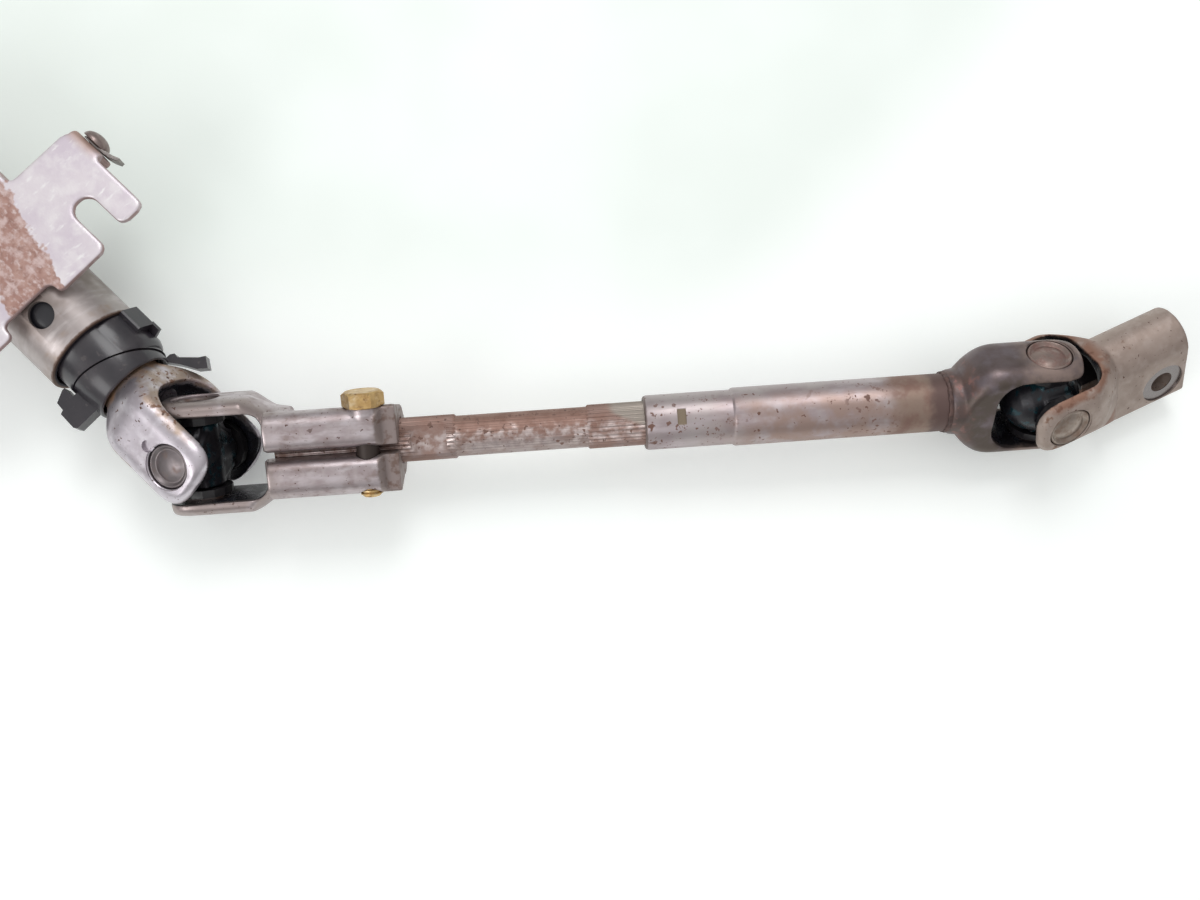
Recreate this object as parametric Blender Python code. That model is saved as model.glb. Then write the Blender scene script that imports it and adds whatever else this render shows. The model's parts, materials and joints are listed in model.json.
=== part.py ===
"""Steering column with two universal joints and a telescoping intermediate shaft.

The model is in metres with +Z up. The origin is on the top face of the lower
bracket, above the column axis, on the line of its two slots. +X runs along the
column from the wheel end to the upper joint. Sizes below are in millimetres.

Each body has its own frame at a joint centre: its X axis runs away from the
joint along the piece, and its Y axis is the pin axis of its yoke. A size named
as an "at", "front" or "end" is measured along that X axis from the joint centre.
"""
import bpy
import bmesh
from math import acos, atan2, ceil, cos, degrees, hypot, pi, radians, sin, sqrt
from mathutils import Matrix, Vector

for item in list(bpy.data.objects):
    bpy.data.objects.remove(item)

MM = 0.001

# Fits
GAP = 0.3                     # seat clearance between pieces that touch
RUN = 0.6                     # clearance between pieces that move past each other
SPLINE_FIT = 0.12             # clearance of the sliding spline

# Resting pose, in degrees
SHAFT_BEND = 47.7             # intermediate shaft against the column, seen from above
CLAMP_ROLL = 21.24            # clamp yoke pins above level, about the shaft
SLEEVE_ROLL = 52.16           # sleeve yoke pins above level, about the shaft
PINION_BEND = 20.7            # pinion yoke against the intermediate shaft

# Column tube
TUBE_RADIUS = 19.05
TUBE_WALL = 2.1
TUBE_FRONT = 55.0
TUBE_LENGTH = 337.0
TUBE_EDGE = 0.5               # chamfer of its two ends
TUBE_HOLE_RADIUS = 4.8
TUBE_HOLE_INSET = 15.0        # tube mouth to the round hole
TUBE_HOLE_TURN = 9.0          # degrees to the side of the top line

# Lower bracket
PLATE = 2.75                  # sheet thickness of both brackets
SLOT_LINE = 85.0              # upper joint centre to the line of the bracket slots
BRACKET_SHIFT = 3.5           # bracket centre to the side of the column axis
BRACKET_HALF_WIDTH = 53.0
BRACKET_FRONT = 15.2          # slot line to the front edge inside the slots
BRACKET_BACK = 26.4           # slot line to the back edge of the ears
PRONG_TIP = 13.0              # slot line to the tips of the outer prongs
PRONG_WIDTH = 10.6
SLOT_WIDTH = 9.2
NOTCH_HALF_WIDTH = 11.0       # shallow notch in the front edge over the tube's hole
NOTCH_DEPTH = 5.2
BRACKET_CORNER = 3.0
CHANNEL_BACK = 83.0           # slot line to the end of the channel
CHANNEL_INSET = 6.0           # back edge of the ears to the start of the channel sides
CHANNEL_HEIGHT = 19.75        # top face to the foot of the channel sides
BEND_RADIUS = 3.5
BEND_INSIDE = 0.8

# Lug on the bracket's edge, with its rivet and clip
LUG_LENGTH = 15.0
LUG_INSET = 1.0               # back edge of the ear to the lug
LUG_HEIGHT = 11.0
LUG_LAP = 0.2                 # how far the lug's outer face sits short of a full bend
LUG_ROOT = 6.0                # how far the lug's bend reaches into the plate
RIVET_INSET = 8.0             # back edge of the ear to the rivet
RIVET_DROP = 5.9              # top face to the rivet
RIVET_RADIUS = 2.0
RIVET_DOME_RADIUS = 4.2
RIVET_DOME = 3.2
RIVET_TAIL = 1.2
CLIP_THICKNESS = 1.2
CLIP_REACH = 11.5             # rivet to the free end of the clip
CLIP_HALF_HEIGHT = 3.2
CLIP_SPLAY = 9.0              # degrees that the clip stands off the lug

# Upper bracket and its breakaway capsules
UPPER_BRACKET_AT = 318.0
UPPER_HALF_WIDTH = 62.0
UPPER_DEPTH = 44.0
UPPER_TAPER = 8.0             # how far back the front corners are drawn
UPPER_SLOT_SPACING = 94.0
UPPER_SLOT_LENGTH = 22.0
UPPER_SLOT_WIDTH = 13.0
UPPER_SLOT_CORNER = 1.5
SADDLE_HALF_WIDTH = 26.0
SADDLE_HALF_LENGTH = 17.0
CAPSULE_LENGTH = 24.0
CAPSULE_WIDTH = 19.0
CAPSULE_FLANGE = 3.0
CAPSULE_HOLE_RADIUS = 4.3

# Steering shaft and wheel nut
SHAFT_RADIUS = 9.0
SHAFT_EDGE = 0.8
WHEEL_TAPER_AT = 12.0         # tube end to the start of the wheel taper
WHEEL_SPLINE_AT = 26.0        # tube end to the wheel serrations
WHEEL_SPLINE_LENGTH = 16.0
WHEEL_SPLINE_RADIUS = 8.0
WHEEL_SPLINE_DEPTH = 0.6
WHEEL_SPLINE_TEETH = 30
THREAD_RADIUS = 6.0
THREAD_RELIEF = 0.9
THREAD_LENGTH = 28.0
NUT_AT = 7.0                  # serrations to the nut
NUT_FLATS = 17.0
NUT_HEIGHT = 9.0

# Column bearings
BALL_BAND = 2.6               # radial height of the ring of balls
BALL_COUNT = 10
BEARING_WIDTH = 9.0
RACE_LIP = 0.5
LOWER_BEARING_INSET = 21.0    # tube mouth to the lower bearing
UPPER_BEARING_INSET = 15.0    # upper tube end to the upper bearing
CIRCLIP_WIDTH = 1.4
CIRCLIP_HEIGHT = 2.4
CIRCLIP_OPENING = 16.0        # half angle of its gap, in degrees

# Plastic mouth of the column tube
COLLAR_FRONT = 34.6
COLLAR_FRONT_RADIUS = 15.2
COLLAR_CLEARANCE = 1.5        # air round the yoke's neck
RETAINER_WALL = 2.7
PLUG_STEP = 10.0              # tube mouth to where the retainer fills the tube
PLUG_WALL = 2.0
LOBE_OFFSET = 3.3             # raised side of the retainer, against the axis
LOBE_RADIUS = 15.0
LOBE_FRONT = 39.5
TAB_TURN = 55.0               # degrees from the top line to the latch tab
TAB_LENGTH = 9.2
TAB_HEIGHT = 20.0             # axis to the top of the tab
NIB_LENGTH = 3.2
NIB_WIDTH = 1.4
JOINT_LINE = 42.5             # where the slanted joint of the two rings crosses the axis
JOINT_SLOPE_SIDE = 0.32
JOINT_SLOPE_UP = 0.10

# Universal joints
EAR_FACE = 20.4               # outer face of an ear from the joint centre
EAR_THICKNESS = 5.0
EAR_TIP = 11.9
EAR_ROUND = 5.0
EAR_HALF_WIDTH = 13.2
SLIM_EAR_HALF_WIDTH = 12.2
CUP_RECESS = 1.0              # cup face below the ear's face
CUP_RADIUS = 7.9
CUP_WALL = 1.3
CUP_BOTTOM = 1.6
CUP_PROUD = 2.6               # how far the cup's mouth stands out of the ear inside
TRUNNION_RADIUS = 4.9
HUB_RADIUS = 7.0
HUB_STEP = 1.4                # cup mouth to the hub's shoulder
SEAL_WALL = 0.8
SEAL_SETBACK = 1.0            # ear's inner face to the seal
NEEDLE_COUNT = 7
STAKE_RADIUS = 2.3
STAKE_SINK = 2.0
STAKE_TURN = 52.0

# Where each yoke's shoulder starts to close in and where it ends
SHAFT_SHOULDER = (19.0, 36.5)
CLAMP_SHOULDER = (15.0, 27.5)
SLEEVE_SHOULDER = (19.5, 29.4)
PINION_SHOULDER = (14.0, 31.0)
SHOULDER_SWELL = 0.6          # how far a forged shoulder stands out past its ears
SHOULDER_ROUND = 6.5
SHAFT_SHOULDER_HOLD = 1.5     # how long its shoulder keeps the ears' size, 1 for an even blend
SHEET_ROUND = 6.0

# Shaft yoke
NECK_WALL = 2.6
NECK_END = 50.0
SHAFT_RECESS = 4.5            # crotch to the end of the steering shaft, inside the yoke's bore
DEEP_CROTCH = 24.2
DEEP_CROTCH_ROUND = 12.0
CROTCH = 22.2
CROTCH_ROUND = 9.0

# Clamp yoke and pinch bolt
JOINT_SPACING = 304.4
CLAMP_START = 25.8
CLAMP_CROTCH = 24.6
CLAMP_SKIN_END = 31.0         # end of the ears' skin inside the barrels
CLAMP_FOLD_LENGTH = 39.0
CLAMP_LENGTH = 45.8
CLAMP_SIDE = 7.3              # bore to the flat sides
CLAMP_BACK = 4.7              # bore to the back
CLAMP_BACK_ROUND = 10.0
CLAMP_NOSE = 5.8              # bolt axis to the crest of the folds
CLAMP_LIP = 4.0               # how far the end lip lies below the folds
CLAMP_SLOT = 3.2
BOLT_AT = 60.8
BOLT_RADIUS = 4.0
BOLT_FLATS = 13.0
BOLT_HEAD = 5.6
BOLT_OVERHANG = 1.4

# Intermediate shaft and sleeve
SPLINE_RADIUS = 8.0
SPLINE_DEPTH = 0.55
SPLINE_TEETH = 32
SPLINE_RUNOUT = 0.4
SHAFT_END = 27.0
FIRST_SPLINE_END = 91.3
SECOND_SPLINE_AT = 138.4
NOTCH_AT = 81.7
NOTCH_LENGTH = 14.0
NOTCH_SINK = 2.3
NOTCH_TURN = 36.0             # degrees from the top line to the notch
SLEEVE_LENGTH = 110.2         # yoke's neck to the sleeve's mouth
SLEEVE_WALL = 1.83
SLEEVE_STEP_INSET = 32.7      # sleeve's mouth to the step in its outside
SLEEVE_STEP = 0.65
SLEEVE_SPLINE_LENGTH = 47.0
SLEEVE_RELIEF = 0.6           # bore behind the spline, above the spline's radius
SLIDE_IN = 33.0               # room for the shaft to push deeper into the sleeve
STAKE_MARK_INSET = 13.1       # sleeve's mouth to the stake mark
STAKE_MARK_LENGTH = 2.6
STAKE_MARK_HEIGHT = 5.6
STAKE_MARK_DEPTH = 0.9
STAKE_MARK_TURN = 147.0

# Sleeve yoke
SLEEVE_YOKE_NECK = 35.2
FLANGE_RADIUS = 13.2
SPIGOT_LENGTH = 12.0

# Pinion yoke
PINION_END = 55.2
PINION_BORE = 8.0
PINION_WALL = 3.7
PINION_LUG = 4.1              # bolt axis to the flat end of the lug, past the hole
PINION_SLOT = 3.0
PINION_BOLT_AT = 45.4
PINION_HOLE = 4.3
PINION_BITE = 1.1             # how far the bolt hole cuts into the bore
SPOT_RADIUS = 8.3
SPOT_SINK = 0.6

# Facets and cutters
FACET_COUNT = 28              # facets round the large turned pieces
SMALL_FACET_COUNT = 20
HIDDEN_FACET_COUNT = 14       # facets round small and hidden pieces
CORNER_POINT_COUNT = 5        # points along a rounded corner of a yoke's section
THROUGH = 80.0                # reach of a cutter that passes right through a piece
OVERLAP = 1.0                 # how far shapes that are joined run into each other

# Sizes that follow from those above
TUBE_BACK = TUBE_FRONT + TUBE_LENGTH
TUBE_BORE = TUBE_RADIUS - TUBE_WALL
PLATE_LOW = TUBE_RADIUS + GAP
PLATE_TOP = PLATE_LOW + PLATE
LOWER_BEARING_AT = TUBE_FRONT + LOWER_BEARING_INSET
UPPER_BEARING_AT = TUBE_BACK - UPPER_BEARING_INSET
NECK_RADIUS = SHAFT_RADIUS + GAP + NECK_WALL
COLLAR_BORE = NECK_RADIUS + COLLAR_CLEARANCE
RETAINER_RADIUS = COLLAR_BORE + RETAINER_WALL
EAR_INNER = EAR_FACE - EAR_THICKNESS
EAR_CORNER = hypot(EAR_FACE - EAR_ROUND, EAR_HALF_WIDTH - EAR_ROUND) + EAR_ROUND
CUP_FACE = EAR_FACE - CUP_RECESS
CUP_MOUTH = EAR_INNER - CUP_PROUD
HUB_REACH = CUP_MOUTH - HUB_STEP
TRUNNION_END = CUP_FACE - CUP_BOTTOM - GAP
SPLINE_ROOT = SPLINE_RADIUS - SPLINE_DEPTH
SPLINE_BORE = SPLINE_RADIUS + GAP
BOLT_OFFSET = SPLINE_BORE + BOLT_RADIUS + GAP
CLAMP_HALF_WIDTH = SPLINE_BORE + CLAMP_SIDE
SLEEVE_RADIUS = SPLINE_RADIUS + SPLINE_FIT + SLEEVE_WALL
SLEEVE_BORE = SPLINE_RADIUS + SLEEVE_RELIEF
SPLINE_TIP = JOINT_SPACING - SLEEVE_YOKE_NECK - SPIGOT_LENGTH - SLIDE_IN - 2 * OVERLAP
PINION_BACK = PINION_BORE + PINION_WALL
PINION_BOLT_OFFSET = PINION_BORE + PINION_HOLE - PINION_BITE
PINION_NOSE = PINION_BOLT_OFFSET + PINION_HOLE + PINION_LUG


def material(name, colour, roughness, metallic):
    mat = bpy.data.materials.new(name)
    mat.use_nodes = True
    bsdf = mat.node_tree.nodes["Principled BSDF"]
    bsdf.inputs["Base Color"].default_value = (*colour, 1.0)
    bsdf.inputs["Roughness"].default_value = roughness
    bsdf.inputs["Metallic"].default_value = metallic
    mat.diffuse_color = (*colour, 1.0)
    return mat


def frame_matrix(origin, x_axis, y_axis):
    """Matrix of a right-handed frame from its origin and first two axes."""
    x = x_axis.normalized()
    y = y_axis.normalized()
    matrix = Matrix((x, y, x.cross(y))).transposed().to_4x4()
    matrix.translation = origin * MM
    return matrix


def body_frame(name, matrix):
    empty = bpy.data.objects.new(name, None)
    empty.empty_display_size = 0.02
    bpy.context.collection.objects.link(empty)
    empty.matrix_world = matrix
    return empty


def new_object(name, bm, mat=None):
    """Close a bmesh into an object, in metres, with its faces pointing out."""
    weld = 0.0005
    bmesh.ops.remove_doubles(bm, verts=bm.verts, dist=weld)
    bmesh.ops.dissolve_degenerate(bm, edges=bm.edges, dist=weld)
    bmesh.ops.scale(bm, vec=(MM, MM, MM), verts=bm.verts)
    bmesh.ops.recalc_face_normals(bm, faces=bm.faces)
    mesh = bpy.data.meshes.new(name)
    bm.to_mesh(mesh)
    bm.free()
    obj = bpy.data.objects.new(name, mesh)
    bpy.context.collection.objects.link(obj)
    if mat:
        mesh.materials.append(mat)
    return obj


def turned(name, profile, segments, mat=None):
    """Revolve a closed (along X, radius) outline about the X axis."""
    bm = bmesh.new()
    verts = [bm.verts.new((x, r, 0.0)) for x, r in profile]
    edges = [bm.edges.new((verts[i - 1], v)) for i, v in enumerate(verts)
             if profile[i][1] > 0 or profile[i - 1][1] > 0]
    bmesh.ops.spin(bm, geom=verts + edges, cent=(0, 0, 0), axis=(1, 0, 0),
                   angle=2 * pi, steps=segments, use_merge=True)
    return new_object(name, bm, mat)


def prism(name, outline, low, high, axis="Z", mat=None):
    """Extrude a closed 2-D outline between two heights along an axis.

    The outline is (y, z) for axis X, (x, z) for axis Y and (x, y) for axis Z.
    """
    def spot(u, v, h):
        return {"X": (h, u, v), "Y": (u, h, v), "Z": (u, v, h)}[axis]
    bm = bmesh.new()
    face = bm.faces.new([bm.verts.new(spot(u, v, low)) for u, v in outline])
    out = bmesh.ops.extrude_face_region(bm, geom=[face])
    moved = [g for g in out["geom"] if isinstance(g, bmesh.types.BMVert)]
    bmesh.ops.translate(bm, verts=moved, vec=Vector(spot(0, 0, high - low)))
    return new_object(name, bm, mat)


def loft(name, rings, mat=None):
    """Skin a list of rings with equal counts of points, and cap both ends."""
    bm = bmesh.new()
    rows = [[bm.verts.new(p) for p in ring] for ring in rings]
    for low, high in zip(rows, rows[1:]):
        for i in range(len(low)):
            bm.faces.new((low[i - 1], low[i], high[i], high[i - 1]))
    bm.faces.new(rows[0])
    bm.faces.new(rows[-1])
    return new_object(name, bm, mat)


def arc(cx, cy, radius, start, end, points):
    """Points on an arc, both ends included, angles in degrees."""
    out = []
    for i in range(points):
        a = radians(start + (end - start) * i / (points - 1))
        out.append((cx + radius * cos(a), cy + radius * sin(a)))
    return out


def rounded_ring(x, half_y, low_z, high_z, corner):
    """A rounded rectangle in the plane at x, as a ring of points."""
    half_z = (high_z - low_z) / 2
    middle = (high_z + low_z) / 2
    corner = min(corner, half_y, half_z)
    ring = []
    for k, (side_y, side_z) in enumerate(((1, 1), (-1, 1), (-1, -1), (1, -1))):
        centre_y = side_y * (half_y - corner)
        centre_z = side_z * (half_z - corner) + middle
        turn = 90 * k
        ring += [(x, y, z) for y, z in arc(centre_y, centre_z, corner, turn, turn + 90, CORNER_POINT_COUNT)]
    return ring


def cylinder(name, radius, low, high, segments, axis="X", at=(0.0, 0.0)):
    """A plain rod between two heights along an axis, used for cutting."""
    outline = arc(at[0], at[1], radius, 0, 360, segments + 1)[:-1]
    return prism(name, outline, low, high, axis)


def box(name, low, high):
    outline = [(low[0], low[1]), (high[0], low[1]), (high[0], high[1]), (low[0], high[1])]
    return prism(name, outline, low[2], high[2])


def combine(target, tool, operation):
    """Apply one boolean with a tool that is used up."""
    weld = 2e-6
    flat = radians(0.5)
    mod = target.modifiers.new(operation, "BOOLEAN")
    mod.operation = operation
    mod.solver = "EXACT"
    mod.object = tool
    bpy.context.view_layer.update()
    depsgraph = bpy.context.evaluated_depsgraph_get()
    mesh = bpy.data.meshes.new_from_object(target.evaluated_get(depsgraph))
    target.modifiers.clear()
    target.data = mesh
    bpy.data.objects.remove(tool)
    bm = bmesh.new()
    bm.from_mesh(mesh)
    bmesh.ops.remove_doubles(bm, verts=bm.verts, dist=weld)
    bmesh.ops.dissolve_degenerate(bm, edges=bm.edges, dist=weld)
    bmesh.ops.dissolve_limit(bm, angle_limit=flat, verts=bm.verts, edges=bm.edges)
    bm.to_mesh(mesh)
    bm.free()


def cut(target, *tools):
    for tool in tools:
        combine(target, tool, "DIFFERENCE")


def join(target, *tools):
    for tool in tools:
        combine(target, tool, "UNION")


def turn_about_axis(obj, angle):
    """Turn a shape about its body's X axis, by degrees."""
    obj.data.transform(Matrix.Rotation(radians(angle), 4, "X"))
    return obj


def place(obj, frame, matrix=None):
    """Seat a piece in its body's frame and shade its round faces smooth."""
    crease = radians(32)
    obj.data.shade_smooth()
    obj.data.set_sharp_from_angle(angle=crease)
    obj.parent = frame
    if matrix:
        obj.matrix_local = matrix


def filleted(points):
    """Round the corners of a closed polygon given as (x, y, radius)."""
    step = 30
    out = []
    for i, (x, y, r) in enumerate(points):
        if r <= 0:
            out.append((x, y))
            continue
        here = Vector((x, y))
        to_last = (Vector(points[i - 1][:2]) - here).normalized()
        to_next = (Vector(points[(i + 1) % len(points)][:2]) - here).normalized()
        half = acos(to_last.dot(to_next)) / 2
        centre = here + (to_last + to_next).normalized() * (r / sin(half))
        first = here + to_last * (r / sin(half) * cos(half)) - centre
        sweep = pi - 2 * half
        if to_last.cross(to_next) > 0:
            sweep = -sweep
        steps = max(2, ceil(abs(degrees(sweep)) / step))
        for k in range(steps + 1):
            a = sweep * k / steps
            spoke = Matrix.Rotation(a, 2) @ first
            out.append(tuple(centre + spoke))
    return out


def serrations(radius, depth, teeth):
    """Pointed teeth round a shaft, as a closed (y, z) outline."""
    out = []
    for i in range(teeth * 2):
        a = pi * i / teeth
        r = radius - depth if i % 2 else radius
        out.append((r * cos(a), r * sin(a)))
    return out


def lobed_ring(name, inner, outer, low, high, count, mat):
    """A ring of touching rollers or balls as one solid, along X."""
    dip = (outer - inner) * 0.28
    ring_out = serrations(outer, dip, count)
    ring_in = serrations(inner, -dip, count)
    bm = bmesh.new()
    rows = []
    for ring, x in ((ring_out, low), (ring_out, high), (ring_in, high), (ring_in, low)):
        rows.append([bm.verts.new((x, y, z)) for y, z in ring])
    for row, after in zip(rows, rows[1:] + rows[:1]):
        for i in range(len(row)):
            bm.faces.new((row[i - 1], row[i], after[i], after[i - 1]))
    return new_object(name, bm, mat)


def hexagon(flats):
    return arc(0, 0, flats / 2 / cos(pi / 6), 0, 360, 7)[:-1]


def rounded_hexagon(name, flats, low, high, mat=None):
    """Hexagon with the corners of its upper end turned down to a chamfer."""
    corner = flats / 2 / cos(pi / 6)
    chamfer = 1.1
    head = prism(name, hexagon(flats), low, high, "X", mat)
    profile = [(low - OVERLAP, 0), (low - OVERLAP, corner + 1), (high - chamfer, corner + 0.2),
               (high, flats / 2 - 0.4), (high + OVERLAP, flats / 2 - 2), (high + OVERLAP, 0)]
    combine(head, turned("round_off", profile, SMALL_FACET_COUNT), "INTERSECT")
    return head


def level_direction(degrees_round):
    return Vector((cos(radians(degrees_round)), sin(radians(degrees_round)), 0))


def level_roll(direction, degrees_up):
    """A pin direction across a level shaft, rolled up from level."""
    return UP.cross(direction) * cos(radians(degrees_up)) + UP * sin(radians(degrees_up))


def column_tube(frame):
    inner = TUBE_BORE + TUBE_EDGE
    outer = TUBE_RADIUS - TUBE_EDGE
    profile = [(TUBE_FRONT, inner), (TUBE_FRONT, outer), (TUBE_FRONT + TUBE_EDGE, TUBE_RADIUS),
               (TUBE_BACK - TUBE_EDGE, TUBE_RADIUS), (TUBE_BACK, outer), (TUBE_BACK, TUBE_BORE),
               (TUBE_FRONT + TUBE_EDGE, TUBE_BORE)]
    tube = turned("column_tube", profile, FACET_COUNT, STEEL_TUBE)
    hole = cylinder("hole", TUBE_HOLE_RADIUS, TUBE_BORE / 2, TUBE_RADIUS * 2, SMALL_FACET_COUNT, "Z",
                    (TUBE_FRONT + TUBE_HOLE_INSET, 0))
    cut(tube, turn_about_axis(hole, -TUBE_HOLE_TURN))
    place(tube, frame)


def saddle_channel(name, foot, low, high):
    """Folded channel over the tube, with its sides reaching down to a foot height."""
    outer = PLATE_TOP
    half = [(outer, PLATE_TOP, BEND_RADIUS), (outer, foot, 0), (outer - PLATE, foot, 0),
            (outer - PLATE, PLATE_LOW, BEND_INSIDE)]
    section = filleted(half + [(-y, z, r) for y, z, r in reversed(half)])
    return prism(name, section, low, high, "X")


def lower_bracket(frame):
    """Slotted plate with a channel behind it, which straddles the column tube."""
    front = SLOT_LINE - BRACKET_FRONT
    back = SLOT_LINE + BRACKET_BACK
    channel_back = SLOT_LINE + CHANNEL_BACK
    tip = SLOT_LINE - PRONG_TIP
    slot_out = BRACKET_HALF_WIDTH - PRONG_WIDTH
    slot_in = slot_out - SLOT_WIDTH
    corner = BRACKET_CORNER
    slot_middle = (slot_out + slot_in) / 2
    half = [(front + NOTCH_DEPTH, NOTCH_HALF_WIDTH, 2), (front, NOTCH_HALF_WIDTH, 2),
            (front, slot_in, corner)]
    half += [(x, y, 0) for x, y in arc(SLOT_LINE, slot_middle, SLOT_WIDTH / 2, -90, 90, 8)]
    half += [(tip, slot_out, corner), (tip, BRACKET_HALF_WIDTH, corner),
             (back, BRACKET_HALF_WIDTH, corner)]
    outline = [(x, y + BRACKET_SHIFT, r) for x, y, r in half]
    outline += [(back, PLATE_TOP, corner), (channel_back, PLATE_TOP, 1), (channel_back, -PLATE_TOP, 1),
                (back, -PLATE_TOP, corner)]
    outline += [(x, -y + BRACKET_SHIFT, r) for x, y, r in reversed(half)]
    plate = prism("lower_bracket", filleted(outline), PLATE_LOW, PLATE_TOP, "Z", STEEL_PLATED)
    channel_foot = PLATE_TOP - CHANNEL_HEIGHT
    join(plate, saddle_channel("channel", channel_foot, back + CHANNEL_INSET, channel_back))
    edge = BRACKET_SHIFT - BRACKET_HALF_WIDTH
    root = edge + LUG_ROOT
    face = edge - PLATE + LUG_LAP
    inside = face + PLATE
    foot = PLATE_TOP - LUG_HEIGHT
    lug = filleted([(root, PLATE_TOP, 0), (face, PLATE_TOP, BEND_RADIUS - BEND_INSIDE),
                    (face, foot, 0.6), (inside, foot, 0.6), (inside, PLATE_LOW, 0.1),
                    (root, PLATE_LOW, 0)])
    join(plate, prism("lug", lug, back - LUG_LENGTH, back - LUG_INSET, "X"))
    cut(plate, cylinder("lug_hole", RIVET_RADIUS + GAP, face - PLATE, inside + PLATE, HIDDEN_FACET_COUNT,
                        "Y", (back - RIVET_INSET, PLATE_TOP - RIVET_DROP)))
    place(plate, frame)


def lug_rivet(frame):
    """Domed rivet through the lug, with the spring clip that it holds."""
    at = SLOT_LINE + BRACKET_BACK - RIVET_INSET
    height = PLATE_TOP - RIVET_DROP
    face = BRACKET_HALF_WIDTH - BRACKET_SHIFT + PLATE - LUG_LAP
    inside = face - PLATE - GAP
    outside = face + CLIP_THICKNESS + 2 * GAP
    tail = inside - RIVET_TAIL
    profile = [(tail, 0), (tail, RIVET_RADIUS + 0.2), (inside, RIVET_RADIUS + 0.8),
               (inside, RIVET_RADIUS), (outside, RIVET_RADIUS), (outside, RIVET_DOME_RADIUS)]
    for turn in (25, 50, 72):
        rise = RIVET_DOME * sin(radians(turn))
        profile.append((outside + rise, RIVET_DOME_RADIUS * cos(radians(turn))))
    profile.append((outside + RIVET_DOME, 0))
    seat = Matrix.Translation(Vector((at, 0, height)) * MM) @ AGAINST_PINS
    place(turned("bracket_rivet", profile, HIDDEN_FACET_COUNT, STEEL_RUSTY), frame, seat)
    half = CLIP_HALF_HEIGHT
    low = face + GAP
    high = low + CLIP_THICKNESS
    splay = CLIP_REACH * sin(radians(CLIP_SPLAY))
    section = [(-half, low), (half, low), (CLIP_REACH, low + splay), (CLIP_REACH, high + splay),
               (half, high), (-half, high)]
    section = [(at - x, -y) for x, y in section]
    strip = prism("bracket_clip", section, height - half, height + half, "Z", STEEL_DULL)
    cut(strip, cylinder("clip_hole", RIVET_RADIUS + GAP, -face - 2 * PLATE, -face + PLATE,
                        HIDDEN_FACET_COUNT, "Y", (at, height)))
    place(strip, frame)


def upper_bracket(frame):
    """Breakaway bracket at the wheel end: slotted plate and two side plates."""
    front = UPPER_BRACKET_AT - UPPER_DEPTH / 2
    back = UPPER_BRACKET_AT + UPPER_DEPTH / 2
    slot_low = (UPPER_SLOT_SPACING - UPPER_SLOT_WIDTH) / 2
    slot_high = slot_low + UPPER_SLOT_WIDTH
    slot_end = back - UPPER_SLOT_LENGTH
    corner = UPPER_SLOT_CORNER
    half = [(front, SADDLE_HALF_WIDTH, 0),
            (front + UPPER_TAPER, UPPER_HALF_WIDTH, 2 * BRACKET_CORNER),
            (back, UPPER_HALF_WIDTH, BRACKET_CORNER), (back, slot_high, corner),
            (slot_end, slot_high, corner), (slot_end, slot_low, corner), (back, slot_low, corner)]
    outline = filleted(half + [(x, -y, r) for x, y, r in reversed(half)])
    plate = prism("upper_bracket", outline, PLATE_LOW, PLATE_TOP, "Z", STEEL_PLATED)
    join(plate, saddle_channel("saddle", -EAR_CORNER, UPPER_BRACKET_AT - SADDLE_HALF_LENGTH,
                               UPPER_BRACKET_AT + SADDLE_HALF_LENGTH))
    place(plate, frame)


def capsule(frame, name, side):
    """Moulded capsule that grips the edges of an upper bracket slot."""
    corner = 1.0
    waist = UPPER_SLOT_WIDTH / 2 - GAP
    flange = CAPSULE_WIDTH / 2
    low = PLATE_LOW - GAP
    high = PLATE_TOP + GAP
    half = [(flange, high + CAPSULE_FLANGE, corner), (flange, high, 0), (waist, high, 0),
            (waist, low, 0), (flange, low, 0), (flange, low - CAPSULE_FLANGE, corner)]
    section = filleted(half + [(-y, z, r) for y, z, r in reversed(half)])
    centre = side * UPPER_SLOT_SPACING / 2
    section = [(y + centre, z) for y, z in section]
    start = UPPER_BRACKET_AT + UPPER_DEPTH / 2 - UPPER_SLOT_LENGTH + UPPER_SLOT_CORNER
    block = prism(name, section, start, start + CAPSULE_LENGTH, "X", ALLOY)
    cut(block, cylinder("hole", CAPSULE_HOLE_RADIUS, -THROUGH, THROUGH, SMALL_FACET_COUNT, "Z",
                        (start + CAPSULE_LENGTH / 2, centre)))
    place(block, frame)


def joint_cutter(side, offset):
    """Everything on one side of the slanted joint between the two plastic rings."""
    low, high = sorted((0, side * THROUGH))
    block = box("half_space", (low, -THROUGH, -THROUGH), (high, THROUGH, THROUGH))
    shear = Matrix.Identity(4)
    shear[0][1] = JOINT_SLOPE_SIDE
    shear[0][2] = JOINT_SLOPE_UP
    shear[0][3] = (JOINT_LINE + offset) * MM
    block.data.transform(shear)
    return block


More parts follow.
